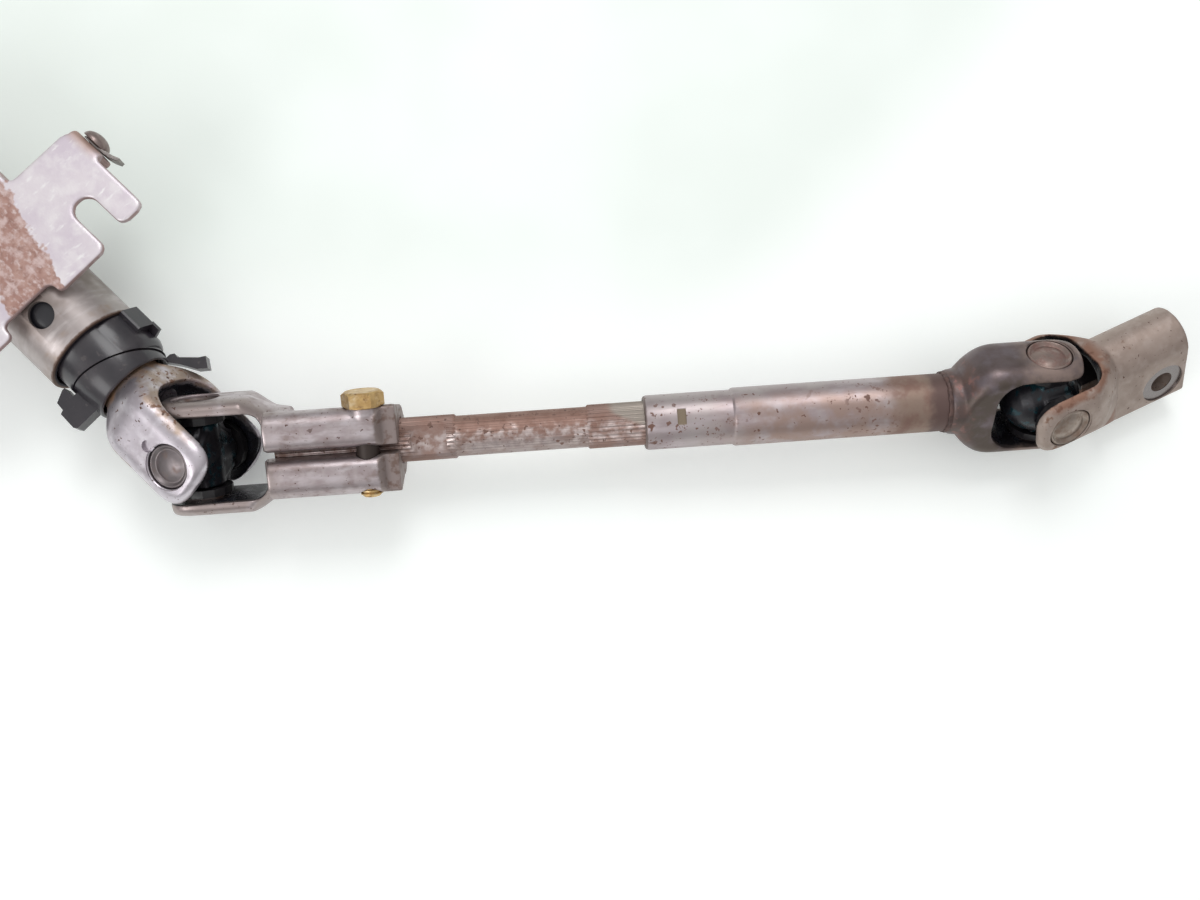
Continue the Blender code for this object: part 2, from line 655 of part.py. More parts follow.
def bearing_retainer(frame):
    """Ring that plugs the tube's mouth, with a raised side and one latch tab."""
    step = TUBE_FRONT + PLUG_STEP
    seat = TUBE_BORE - GAP
    end = LOWER_BEARING_AT - GAP
    back_bore = seat - PLUG_WALL
    profile = [(COLLAR_FRONT, RETAINER_RADIUS), (step - 1, RETAINER_RADIUS), (step, seat),
               (end, seat), (end, back_bore), (step + 1, back_bore), (step - 3, COLLAR_BORE),
               (COLLAR_FRONT, COLLAR_BORE)]
    ring = turned("bearing_retainer", profile, FACET_COUNT, PLASTIC_BLACK)
    mouth = TUBE_FRONT - GAP
    lobe = [(LOBE_FRONT, 0), (LOBE_FRONT, LOBE_RADIUS - 1.6), (LOBE_FRONT + 2.4, LOBE_RADIUS),
            (mouth, LOBE_RADIUS), (mouth, 0)]
    raised = turned("lobe", lobe, SMALL_FACET_COUNT)
    raised.data.transform(Matrix.Translation(Vector((0, -LOBE_OFFSET, 0)) * MM))
    cut(raised, cylinder("lobe_bore", COLLAR_BORE + RETAINER_WALL / 2, 0, THROUGH, SMALL_FACET_COUNT))
    join(ring, raised)
    cut(ring, joint_cutter(-1, 0))
    low_side, high_side = -9.3, -1.0
    tip = mouth - TAB_LENGTH
    tab = box("tab", (tip, low_side, RETAINER_RADIUS - OVERLAP), (mouth, high_side, TAB_HEIGHT))
    nib = box("nib", (tip - NIB_LENGTH, low_side, TAB_HEIGHT - 3 * NIB_WIDTH),
              (tip + OVERLAP, low_side + NIB_WIDTH, TAB_HEIGHT))
    join(ring, turn_about_axis(tab, TAB_TURN), turn_about_axis(nib, TAB_TURN))
    place(ring, frame)


def dust_collar(frame):
    """Ring round the yoke's neck with a latch arm on one side and a hook on the other."""
    lip = 0.8
    behind = JOINT_LINE + JOINT_SLOPE_SIDE * RETAINER_RADIUS * 2
    profile = [(COLLAR_FRONT + lip, COLLAR_BORE), (COLLAR_FRONT, COLLAR_BORE + lip),
               (COLLAR_FRONT, COLLAR_FRONT_RADIUS - lip), (COLLAR_FRONT + lip, COLLAR_FRONT_RADIUS),
               (JOINT_LINE, RETAINER_RADIUS), (behind, RETAINER_RADIUS), (behind, COLLAR_BORE)]
    ring = turned("dust_collar", profile, FACET_COUNT, PLASTIC_BLACK)
    cut(ring, joint_cutter(1, -GAP))
    root = COLLAR_BORE + GAP
    clear = RETAINER_RADIUS + 2 * GAP
    # Outlines as (behind the collar's front, distance from the axis)
    arm = [(1.8, root), (11.4, root), (11.4, clear), (15.8, clear), (15.8, 17.8), (13.7, 22.2),
           (10.4, 22.5), (9.8, 24.0), (3.0, 24.3), (1.8, 23.4)]
    hook = [(1.4, -root), (1.4, -17.0), (0.4, -18.4), (-1.4, -18.2), (-7.9, -24.2),
            (-11.9, -22.3), (-8.8, -21.0), (-3.8, -16.9), (0.8, -root)]
    for outline, low, high in ((arm, 0.5, 6.5), (hook, -7.6, -2.6)):
        join(ring, prism("latch", [(COLLAR_FRONT + x, y) for x, y in outline], low, high))
    place(ring, frame)


def bearing(column, shaft, label, at):
    """Race in the tube, race on the shaft and the caged balls between them."""
    outer = TUBE_BORE - GAP
    inner = SHAFT_RADIUS + GAP
    band_low = (outer + inner - BALL_BAND) / 2
    band_high = band_low + BALL_BAND
    high = band_low - GAP
    low = band_high + GAP
    end = at + BEARING_WIDTH
    middle = at + BEARING_WIDTH / 2
    race = [(at, low), (at, outer), (end, outer), (end, low), (middle, low + RACE_LIP)]
    place(turned(label + "_outer_race", race, SMALL_FACET_COUNT, STEEL_BRIGHT), column)
    race = [(at, high), (at, inner), (end, inner), (end, high), (middle, high - RACE_LIP)]
    place(turned(label + "_inner_race", race, SMALL_FACET_COUNT, STEEL_BRIGHT), shaft)
    half = BEARING_WIDTH / 5
    balls = lobed_ring(label + "_balls", band_low, band_high, middle - half, middle + half,
                       BALL_COUNT, STEEL_BRIGHT)
    place(balls, column)


def circlip(frame):
    """Snap ring behind the upper bearing, open on one side."""
    outer = TUBE_BORE - GAP
    at = UPPER_BEARING_AT + BEARING_WIDTH + GAP
    first, last = CIRCLIP_OPENING, 360 - CIRCLIP_OPENING
    outline = arc(0, 0, outer, first, last, SMALL_FACET_COUNT)
    outline += arc(0, 0, outer - CIRCLIP_HEIGHT, last, first, SMALL_FACET_COUNT)
    place(prism("bearing_circlip", outline, at, at + CIRCLIP_WIDTH, "X", STEEL_DULL), frame)


def steering_shaft(frame):
    """Solid shaft from the yoke neck to the threaded wheel end."""
    front = DEEP_CROTCH + SHAFT_RECESS
    spline = TUBE_BACK + WHEEL_SPLINE_AT
    spline_end = spline + WHEEL_SPLINE_LENGTH
    back = spline_end + THREAD_LENGTH
    core = WHEEL_SPLINE_RADIUS - THREAD_RELIEF
    thread_root = THREAD_RADIUS - THREAD_RELIEF
    relief = 3.0
    profile = [(front, 0), (front, SHAFT_RADIUS - SHAFT_EDGE), (front + SHAFT_EDGE, SHAFT_RADIUS),
               (TUBE_BACK + WHEEL_TAPER_AT, SHAFT_RADIUS), (spline - 1, core),
               (spline_end + 1, core), (spline_end + 1, thread_root),
               (spline_end + relief, thread_root),
               (spline_end + relief + THREAD_RELIEF, THREAD_RADIUS), (back - 1, THREAD_RADIUS),
               (back, THREAD_RADIUS - 1), (back, 0)]
    shaft = turned("steering_shaft", profile, SMALL_FACET_COUNT, STEEL_DULL)
    teeth = serrations(WHEEL_SPLINE_RADIUS, WHEEL_SPLINE_DEPTH, WHEEL_SPLINE_TEETH)
    join(shaft, prism("wheel_spline", teeth, spline, spline_end, "X"))
    place(shaft, frame)


def wheel_nut(frame):
    at = TUBE_BACK + WHEEL_SPLINE_AT + WHEEL_SPLINE_LENGTH + NUT_AT
    nut = rounded_hexagon("wheel_nut", NUT_FLATS, at, at + NUT_HEIGHT, ZINC_YELLOW)
    cut(nut, cylinder("bore", THREAD_RADIUS + GAP, 0, at + THROUGH, SMALL_FACET_COUNT))
    place(nut, frame)


def ear_rings(half_width):
    """Rings from the rounded ear tips to the pins."""
    rings = []
    power = 3
    for share in (-0.975, -0.88, -0.66, -0.36, 0.0):
        half_z = half_width * (1 - abs(share) ** power) ** (1 / power)
        rings.append(rounded_ring(EAR_TIP * share, EAR_FACE, -half_z, half_z, EAR_ROUND))
    return rings


def shoulder_rings(ear, neck, stations, steps, hold=1):
    """Rings that blend an ear section into a neck section.

    A section is (half width along the pins, low edge, high edge, corner radius).
    The sides close in smoothly, while the top and bottom keep their height longer
    and the corners grow round early.
    """
    start, end = stations
    rings = []
    for i in range(steps + 1):
        t = i / steps
        held = t ** hold
        smooth = held * held * (3 - 2 * held)
        shares = (smooth, smooth ** 3, smooth ** 3, 1 - (1 - held) ** 2)
        half_y, low, high, corner = (a + (b - a) * share for a, b, share in zip(ear, neck, shares))
        rings.append(rounded_ring(start + (end - start) * t, half_y, low, high, corner))
    return rings


def round_section(radius):
    return (radius, -radius, radius, radius)


def open_fork(yoke, crotch, crotch_round):
    """Cut the gap between the ears and bore them for the bearing cups."""
    gap = filleted([(-THROUGH, EAR_INNER, 0), (crotch, EAR_INNER, crotch_round),
                    (crotch, -EAR_INNER, crotch_round), (-THROUGH, -EAR_INNER, 0)])
    cut(yoke, prism("gap", gap, -THROUGH, THROUGH))
    cut(yoke, cylinder("cup_bore", CUP_RADIUS + GAP, -THROUGH, THROUGH, SMALL_FACET_COUNT, "Y"))


def cups(frame, label):
    """Two bearing cups and their needle rings in the ears of one yoke."""
    dish = 0.5
    edge = 0.6
    inner = CUP_RADIUS - CUP_WALL
    bottom = CUP_FACE - CUP_BOTTOM
    profile = [(CUP_FACE - dish, 0), (CUP_FACE - dish, inner - 2.3), (CUP_FACE, inner - 1.1),
               (CUP_FACE, CUP_RADIUS - edge), (CUP_FACE - edge, CUP_RADIUS), (CUP_MOUTH, CUP_RADIUS),
               (CUP_MOUTH, inner), (bottom, inner), (bottom, 0)]
    for side, seat in (("a", ALONG_PINS), ("b", AGAINST_PINS)):
        place(turned(label + "_cup_" + side, profile, HIDDEN_FACET_COUNT, STEEL_RUSTY), frame, seat)
        needles = lobed_ring(label + "_needles_" + side, TRUNNION_RADIUS + GAP, inner - GAP,
                             CUP_MOUTH + RUN, bottom - GAP, NEEDLE_COUNT, STEEL_BRIGHT)
        place(needles, frame, seat)


def cross(frame, label):
    """Four-armed cross with a seal on each arm."""
    edge = 0.6
    half = [(HUB_REACH - edge, HUB_RADIUS), (HUB_REACH, HUB_RADIUS - edge),
            (HUB_REACH, TRUNNION_RADIUS), (TRUNNION_END - edge, TRUNNION_RADIUS),
            (TRUNNION_END, TRUNNION_RADIUS - edge), (TRUNNION_END, 0)]
    profile = [(-x, r) for x, r in reversed(half)] + half
    spider = turned(label + "_cross", profile, HIDDEN_FACET_COUNT, STEEL_DARK)
    arm = turned("arm", profile, HIDDEN_FACET_COUNT)
    arm.data.transform(ALONG_PINS)
    join(spider, arm)
    place(spider, frame)
    low = TRUNNION_RADIUS + GAP
    lip = CUP_RADIUS + RUN
    outer = lip + SEAL_WALL
    start = HUB_REACH + GAP
    step = CUP_MOUTH - GAP
    end = EAR_INNER - SEAL_SETBACK
    profile = [(start, low), (start, outer), (end, outer), (end, lip), (step, lip), (step, low)]
    for i in range(4):
        seal = turned(f"{label}_seal_{i + 1}", profile, HIDDEN_FACET_COUNT, RUBBER_BLACK)
        place(seal, frame, Matrix.Rotation(pi / 2 * i, 4, "Z"))


def shaft_yoke(frame):
    """Forged yoke on the end of the steering shaft."""
    high = EAR_HALF_WIDTH + SHOULDER_SWELL
    ear = (EAR_FACE, -high, high, SHOULDER_ROUND)
    rings = ear_rings(EAR_HALF_WIDTH)
    rings += shoulder_rings(ear, round_section(NECK_RADIUS), SHAFT_SHOULDER, 7,
                            SHAFT_SHOULDER_HOLD)
    rings += [rounded_ring(NECK_END - 1, *round_section(NECK_RADIUS)),
              rounded_ring(NECK_END, *round_section(NECK_RADIUS - 1))]
    yoke = loft("shaft_yoke", rings, STEEL_BRIGHT)
    open_fork(yoke, DEEP_CROTCH, DEEP_CROTCH_ROUND)
    cut(yoke, cylinder("shaft_bore", SHAFT_RADIUS + GAP, 0, THROUGH, SMALL_FACET_COUNT))
    ring = CUP_RADIUS + STAKE_RADIUS - OVERLAP
    turn = radians(STAKE_TURN)
    for side in (1, -1):
        low, high = sorted((side * (EAR_FACE - STAKE_SINK), side * THROUGH))
        cut(yoke, cylinder("stake", STAKE_RADIUS, low, high, HIDDEN_FACET_COUNT, "Y",
                           (ring * cos(turn), side * ring * sin(turn))))
    place(yoke, frame)


def clamp_outline(bore, half_slot, nose_outline, back_outline):
    """Section of a split clamp: a bore open along the slot, then round the outside."""
    lip = sqrt(bore * bore - half_slot * half_slot)
    edge = degrees(atan2(lip, half_slot))
    outline = arc(0, 0, bore, 180 - edge, 360 + edge, SMALL_FACET_COUNT)
    outline += [(half_slot + y, z) for y, z in nose_outline]
    outline += back_outline
    outline += [(-half_slot - y, z) for y, z in reversed(nose_outline)]
    return outline


def clamp_yoke(frame):
    """Folded-plate yoke whose two barrels clamp the intermediate shaft with one bolt."""
    inset = 0.4
    neck_round = 9.0
    ear = (EAR_FACE, -EAR_HALF_WIDTH, EAR_HALF_WIDTH, SHEET_ROUND)
    back = SPLINE_BORE + CLAMP_BACK
    crest = BOLT_OFFSET + CLAMP_NOSE
    rings = ear_rings(EAR_HALF_WIDTH)
    rings += shoulder_rings(ear, (CLAMP_HALF_WIDTH, -back, EAR_HALF_WIDTH, neck_round),
                            CLAMP_SHOULDER, 4)
    rings += [rounded_ring(CLAMP_SKIN_END, CLAMP_HALF_WIDTH - inset, inset - back,
                           EAR_HALF_WIDTH - 0.6, neck_round)]
    yoke = loft("clamp_yoke", rings, STEEL_BRIGHT)
    half_slot = CLAMP_SLOT / 2
    nose = (CLAMP_HALF_WIDTH - half_slot) / 2
    barrel = arc(nose, crest - nose, nose, 180, 0, 9)
    side = CLAMP_HALF_WIDTH - CLAMP_BACK_ROUND
    low = CLAMP_BACK_ROUND - back
    base = arc(side, low, CLAMP_BACK_ROUND, 0, -90, 4)
    base += arc(-side, low, CLAMP_BACK_ROUND, -90, -180, 4)
    outline = clamp_outline(SPLINE_BORE, half_slot, barrel, base)
    end = CLAMP_START + CLAMP_LENGTH
    join(yoke, prism("body", outline, CLAMP_START, end, "X"))
    shallow = CLAMP_START + THROUGH / 4
    cut(yoke, cylinder("bore", SPLINE_BORE, 0, shallow, SMALL_FACET_COUNT),
        box("slot", (CLAMP_CROTCH - 6, -half_slot, SPLINE_BORE / 2), (shallow, half_slot, THROUGH)))
    fold = CLAMP_START + CLAMP_FOLD_LENGTH
    lip_cut = [(fold, THROUGH), (fold, crest - inset), (fold + 2.2, crest - CLAMP_LIP),
               (end + OVERLAP, crest - CLAMP_LIP), (end + OVERLAP, THROUGH)]
    cut(yoke, prism("lip", lip_cut, -THROUGH, THROUGH, "Y"))
    open_fork(yoke, CLAMP_CROTCH, SHEET_ROUND)
    cut(yoke, cylinder("bolt_hole", BOLT_RADIUS + GAP, -THROUGH, THROUGH, SMALL_FACET_COUNT, "Y",
                       (BOLT_AT, BOLT_OFFSET)))
    place(yoke, frame)


def pinch_bolt(frame):
    """Hexagon bolt across the clamp."""
    seat = CLAMP_HALF_WIDTH + GAP
    tip = -CLAMP_HALF_WIDTH - BOLT_OVERHANG
    edge = 0.9
    washer = 0.5
    washer_radius = BOLT_FLATS / 2 - 0.4
    shank = [(tip, 0), (tip, BOLT_RADIUS - edge), (tip + edge, BOLT_RADIUS), (seat, BOLT_RADIUS),
             (seat, washer_radius), (seat + washer, washer_radius), (seat + washer, 0)]
    bolt = turned("pinch_bolt", shank, SMALL_FACET_COUNT, ZINC_YELLOW)
    join(bolt, rounded_hexagon("head", BOLT_FLATS, seat + washer / 2, seat + BOLT_HEAD))
    place(bolt, frame, Matrix.Translation(Vector((BOLT_AT, 0, BOLT_OFFSET)) * MM) @ ALONG_PINS)


def intermediate_shaft(frame):
    """Serrated at both ends, necked between them, with a milled notch for the bolt."""
    end = 0.9
    neck = (SPLINE_ROOT - 0.1, 0)
    full = (SPLINE_RADIUS, SPLINE_DEPTH)
    tip = (SPLINE_ROOT - end / 2, 0)
    stations = [(SHAFT_END, tip), (SHAFT_END + end, full),
                (FIRST_SPLINE_END - SPLINE_RUNOUT, full), (FIRST_SPLINE_END, neck),
                (SECOND_SPLINE_AT, neck), (SECOND_SPLINE_AT + SPLINE_RUNOUT, full),
                (SPLINE_TIP - end, full), (SPLINE_TIP, tip)]
    rings = [[(x, y, z) for y, z in serrations(radius, depth, SPLINE_TEETH)]
             for x, (radius, depth) in stations]
    shaft = loft("intermediate_shaft", rings, STEEL_RUSTY)
    half = NOTCH_LENGTH / 2
    radius = (half * half + NOTCH_SINK * NOTCH_SINK) / (2 * NOTCH_SINK)
    milling = cylinder("notch", radius, -THROUGH, THROUGH, 3 * FACET_COUNT, "Y",
                       (NOTCH_AT, SPLINE_RADIUS - NOTCH_SINK + radius))
    cut(shaft, turn_about_axis(milling, NOTCH_TURN))
    place(shaft, frame)


def slip_sleeve(frame):
    """Tube that slides on the intermediate shaft's long serrations."""
    start = SLEEVE_YOKE_NECK + SLEEVE_LENGTH
    step = start - SLEEVE_STEP_INSET
    mark = start - STAKE_MARK_INSET
    spline_end = start - SLEEVE_SPLINE_LENGTH
    end = SLEEVE_YOKE_NECK + GAP
    big = SLEEVE_RADIUS + SLEEVE_STEP
    profile = [(end, 0), (end, big), (step, big), (step + 0.8, SLEEVE_RADIUS),
               (start - 1.3, SLEEVE_RADIUS), (start, SLEEVE_RADIUS - 1), (start, 0)]
    sleeve = turned("slip_sleeve", profile, FACET_COUNT, STEEL_TUBE)
    teeth = serrations(SPLINE_RADIUS + SPLINE_FIT, SPLINE_DEPTH, SPLINE_TEETH)
    spline = prism("spline", teeth, spline_end - OVERLAP, start + OVERLAP, "X")
    cut(sleeve, turn_about_axis(spline, SLEEVE_ROLL - CLAMP_ROLL),
        cylinder("bore", SLEEVE_BORE, 0, spline_end, SMALL_FACET_COUNT))
    half_length = STAKE_MARK_LENGTH / 2
    half_height = STAKE_MARK_HEIGHT / 2
    stake = box("stake", (mark - half_length, -half_height, SLEEVE_RADIUS - STAKE_MARK_DEPTH),
                (mark + half_length, half_height, THROUGH))
    cut(sleeve, turn_about_axis(stake, -STAKE_MARK_TURN))
    place(sleeve, frame)


def sleeve_yoke(frame):
    """Forged yoke with a flanged collar, spigoted into the sleeve."""
    neck = SLEEVE_YOKE_NECK
    high = SLIM_EAR_HALF_WIDTH + SHOULDER_SWELL
    ear = (EAR_FACE, -high, high, SHOULDER_ROUND)
    waist = SLEEVE_RADIUS + SLEEVE_STEP + 0.8
    rings = ear_rings(SLIM_EAR_HALF_WIDTH)
    rings += shoulder_rings(ear, round_section(FLANGE_RADIUS), SLEEVE_SHOULDER, 4)
    for x, radius in ((neck - 4, FLANGE_RADIUS), (neck - 2.6, waist + 0.5), (neck - 1.8, waist),
                      (neck - 0.4, waist), (neck, waist - 0.4)):
        rings.append(rounded_ring(x, *round_section(radius)))
    yoke = loft("sleeve_yoke", rings, STEEL_DARK)
    open_fork(yoke, CROTCH, CROTCH_ROUND)
    spigot = SLEEVE_BORE - GAP
    edge = 0.8
    end = neck + SPIGOT_LENGTH
    profile = [(neck - 3, 0), (neck - 3, spigot), (end - edge, spigot), (end, spigot - edge), (end, 0)]
    join(yoke, turned("spigot", profile, SMALL_FACET_COUNT))
    place(yoke, frame)


def pinion_yoke(frame):
    """Forged yoke whose slotted end clamps on the steering gear's pinion."""
    ear = (EAR_FACE, -SLIM_EAR_HALF_WIDTH, SLIM_EAR_HALF_WIDTH, SHEET_ROUND)
    neck = (PINION_BACK + 0.4, -PINION_BACK, PINION_NOSE - 2.6, SHEET_ROUND)
    rings = ear_rings(SLIM_EAR_HALF_WIDTH)
    rings += shoulder_rings(ear, neck, PINION_SHOULDER, 5)
    yoke = loft("pinion_yoke", rings, STEEL_DULL)
    corner = 3.0
    half_slot = PINION_SLOT / 2
    lug = [(0, PINION_NOSE)]
    lug += arc(PINION_BACK - corner - half_slot, PINION_NOSE - corner, corner, 90, 0, 4)
    outline = clamp_outline(PINION_BORE, half_slot, lug, arc(0, 0, PINION_BACK, 0, -180, 15))
    join(yoke, prism("body", outline, CROTCH + 4.8, PINION_END, "X"))
    deep = CROTCH + 12
    cut(yoke, cylinder("bore", PINION_BORE, 0, deep, SMALL_FACET_COUNT),
        box("slot", (CROTCH - 7, -half_slot, PINION_BORE / 2), (deep, half_slot, THROUGH)))
    open_fork(yoke, CROTCH, CROTCH_ROUND)
    at = (PINION_BOLT_AT, PINION_BOLT_OFFSET)
    spot = PINION_BACK - SPOT_SINK
    cut(yoke, cylinder("bolt_hole", PINION_HOLE, -THROUGH, THROUGH, SMALL_FACET_COUNT, "Y", at),
        cylinder("spot_face", SPOT_RADIUS, spot, THROUGH, SMALL_FACET_COUNT, "Y", at))
    place(yoke, frame)


STEEL_DARK = material("blackened_steel", (0.085, 0.075, 0.075), 0.5, 0.9)
STEEL_DULL = material("dull_steel", (0.36, 0.33, 0.31), 0.5, 0.85)
STEEL_BRIGHT = material("bright_steel", (0.62, 0.60, 0.60), 0.3, 1.0)
STEEL_TUBE = material("tube_steel", (0.42, 0.41, 0.41), 0.4, 0.95)
STEEL_PLATED = material("plated_steel", (0.62, 0.58, 0.63), 0.35, 0.9)
STEEL_RUSTY = material("rusty_steel", (0.38, 0.27, 0.22), 0.6, 0.7)
ZINC_YELLOW = material("yellow_zinc", (0.62, 0.48, 0.20), 0.35, 0.9)
PLASTIC_BLACK = material("black_plastic", (0.02, 0.02, 0.025), 0.25, 0.0)
RUBBER_BLACK = material("black_rubber", (0.015, 0.015, 0.015), 0.6, 0.0)
ALLOY = material("cast_alloy", (0.55, 0.55, 0.56), 0.45, 0.9)

UP = Vector((0, 0, 1))
COLUMN_DIR = Vector((-1, 0, 0))
SHAFT_DIR = level_direction(SHAFT_BEND)
PINION_DIR = level_direction(SHAFT_BEND + PINION_BEND)
UPPER_JOINT = Vector((SLOT_LINE, 0, -PLATE_TOP))
LOWER_JOINT = UPPER_JOINT + SHAFT_DIR * JOINT_SPACING
CLAMP_PINS = level_roll(SHAFT_DIR, CLAMP_ROLL)
SHAFT_PINS = COLUMN_DIR.cross(CLAMP_PINS).normalized()
SLEEVE_PINS = level_roll(SHAFT_DIR, SLEEVE_ROLL)
PINION_PINS = PINION_DIR.cross(SLEEVE_PINS).normalized()
ALONG_PINS = Matrix.Rotation(pi / 2, 4, "Z")
AGAINST_PINS = Matrix.Rotation(-pi / 2, 4, "Z")

column = body_frame("column_frame", frame_matrix(UPPER_JOINT, COLUMN_DIR, UP.cross(COLUMN_DIR)))
column_tube(column)
lower_bracket(column)
lug_rivet(column)
upper_bracket(column)
capsule(column, "capsule_left", 1)
capsule(column, "capsule_right", -1)
bearing_retainer(column)
dust_collar(column)
circlip(column)

wheel_side = body_frame("steering_shaft_frame", frame_matrix(UPPER_JOINT, COLUMN_DIR, SHAFT_PINS))
steering_shaft(wheel_side)
wheel_nut(wheel_side)
shaft_yoke(wheel_side)
cups(wheel_side, "shaft_yoke")
bearing(column, wheel_side, "lower_bearing", LOWER_BEARING_AT)
bearing(column, wheel_side, "upper_bearing", UPPER_BEARING_AT)

cross(body_frame("upper_cross_frame", frame_matrix(UPPER_JOINT, SHAFT_PINS, CLAMP_PINS)), "upper")

middle_frame = body_frame("intermediate_frame", frame_matrix(UPPER_JOINT, SHAFT_DIR, CLAMP_PINS))
clamp_yoke(middle_frame)
pinch_bolt(middle_frame)
intermediate_shaft(middle_frame)
cups(middle_frame, "clamp_yoke")

sleeve_frame = body_frame("sleeve_frame", frame_matrix(LOWER_JOINT, -SHAFT_DIR, SLEEVE_PINS))
slip_sleeve(sleeve_frame)
sleeve_yoke(sleeve_frame)
cups(sleeve_frame, "sleeve_yoke")

cross(body_frame("lower_cross_frame", frame_matrix(LOWER_JOINT, SLEEVE_PINS, PINION_PINS)), "lower")

pinion_frame = body_frame("pinion_frame", frame_matrix(LOWER_JOINT, PINION_DIR, PINION_PINS))
pinion_yoke(pinion_frame)
cups(pinion_frame, "pinion_yoke")
bpy.context.view_layer.update()
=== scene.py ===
"""Looks of the steering column: worn metal, black plastic, and a pale table in soft light."""
import json

import bmesh
import bpy
from math import atan2, cos, degrees, pi, radians, sin, sqrt
from mathutils import Matrix, Vector

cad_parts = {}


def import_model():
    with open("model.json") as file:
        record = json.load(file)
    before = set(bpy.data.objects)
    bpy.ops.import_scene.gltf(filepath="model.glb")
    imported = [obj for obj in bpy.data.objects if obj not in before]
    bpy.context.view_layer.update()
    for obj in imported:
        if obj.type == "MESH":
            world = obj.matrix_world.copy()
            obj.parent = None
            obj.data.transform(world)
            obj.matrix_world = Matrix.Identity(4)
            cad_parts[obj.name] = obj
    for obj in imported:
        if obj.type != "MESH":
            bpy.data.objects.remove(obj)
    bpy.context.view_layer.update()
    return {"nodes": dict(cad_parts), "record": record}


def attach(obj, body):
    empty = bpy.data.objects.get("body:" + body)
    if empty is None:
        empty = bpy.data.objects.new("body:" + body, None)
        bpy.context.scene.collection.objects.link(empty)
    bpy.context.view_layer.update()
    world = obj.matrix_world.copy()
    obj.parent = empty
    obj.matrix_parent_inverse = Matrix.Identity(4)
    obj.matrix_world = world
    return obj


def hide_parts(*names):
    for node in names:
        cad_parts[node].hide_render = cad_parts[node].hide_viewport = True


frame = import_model()

MM = 0.001


def srgb(red, green, blue):
    """A colour written as it looks on a screen, 0 to 255, as the linear colour that nodes take."""
    out = []
    for value in (red, green, blue):
        v = value / 255
        out.append(v / 12.92 if v <= 0.04045 else ((v + 0.055) / 1.055) ** 2.4)
    return (*out, 1.0)


def axes(origin_mm, x_axis, y_axis):
    """Matrix of a body's own frame, in metres."""
    x = Vector(x_axis).normalized()
    y = Vector(y_axis).normalized()
    matrix = Matrix((x, y, x.cross(y))).transposed().to_4x4()
    matrix.translation = Vector(origin_mm) * MM
    return matrix


# The frames of the bodies: X runs from the joint along the piece and Y along its pins;
# in a cross both run along pins
UPPER = (85.0, 0.0, -22.1)
LOWER = (289.865, 225.144, -22.1)
COLUMN = axes(UPPER, (-1, 0, 0), (0, -1, 0))
WHEEL = axes(UPPER, (-1, 0, 0), (0, 0.500101, -0.865967))
CLAMP = axes(UPPER, (0.673013, 0.739631, 0), (-0.689390, 0.627296, 0.362275))
UPPER_CROSS = axes(UPPER, (0, 0.500101, -0.865967), (-0.689390, 0.627296, 0.362275))
SLEEVE = axes(LOWER, (-0.673013, -0.739631, 0), (-0.453726, 0.412859, 0.789724))
PINION = axes(LOWER, (0.368125, 0.929776, 0), (0.752166, -0.297804, 0.587843))
LOWER_CROSS = axes(LOWER, (-0.453726, 0.412859, 0.789724), (0.752166, -0.297804, 0.587843))


# Sizes in mm that several pieces share
FAR = 80.0                       # reach of a cutter that passes right through
EAR_FACE = 19.8                  # outer face of an ear in the lower joint, from the centre
UPPER_EAR_FACE = 20.4            # the same in the upper joint
EAR_INNER = 15.4
EAR_TIP = 11.9
CUP_BORE = 8.15
CUP_RADIUS = 7.9
CUP_FACE = 19.4
CUP_MOUTH = 12.8
SHAFT_GAP = (24.2, 12.0)         # depth of a fork's gap, and the round of its corners
CLAMP_GAP = (24.6, 6.0)
LOWER_GAP = (19.4, 9.5)
BOLT_SPOT = (60.8, 12.6)         # pinch bolt in the clamp yoke, as (x, z)
RIVET_SPOT = (103.4, 16.2)       # rivet in the lower bracket's lug, as (x, z)
LUG_FACE = 52.0                  # outer face of that lug, from the column's axis
TUBE_FRONT = 55.0                # mouth of the jacket tube
RING_FRONT = 34.6                # front of the two plastic rings, with their bore and radius
RING_BORE = 13.4
RING_RADIUS = 16.1
RING_JOINT = 42.5                # where their slanted joint crosses the axis


# Materials

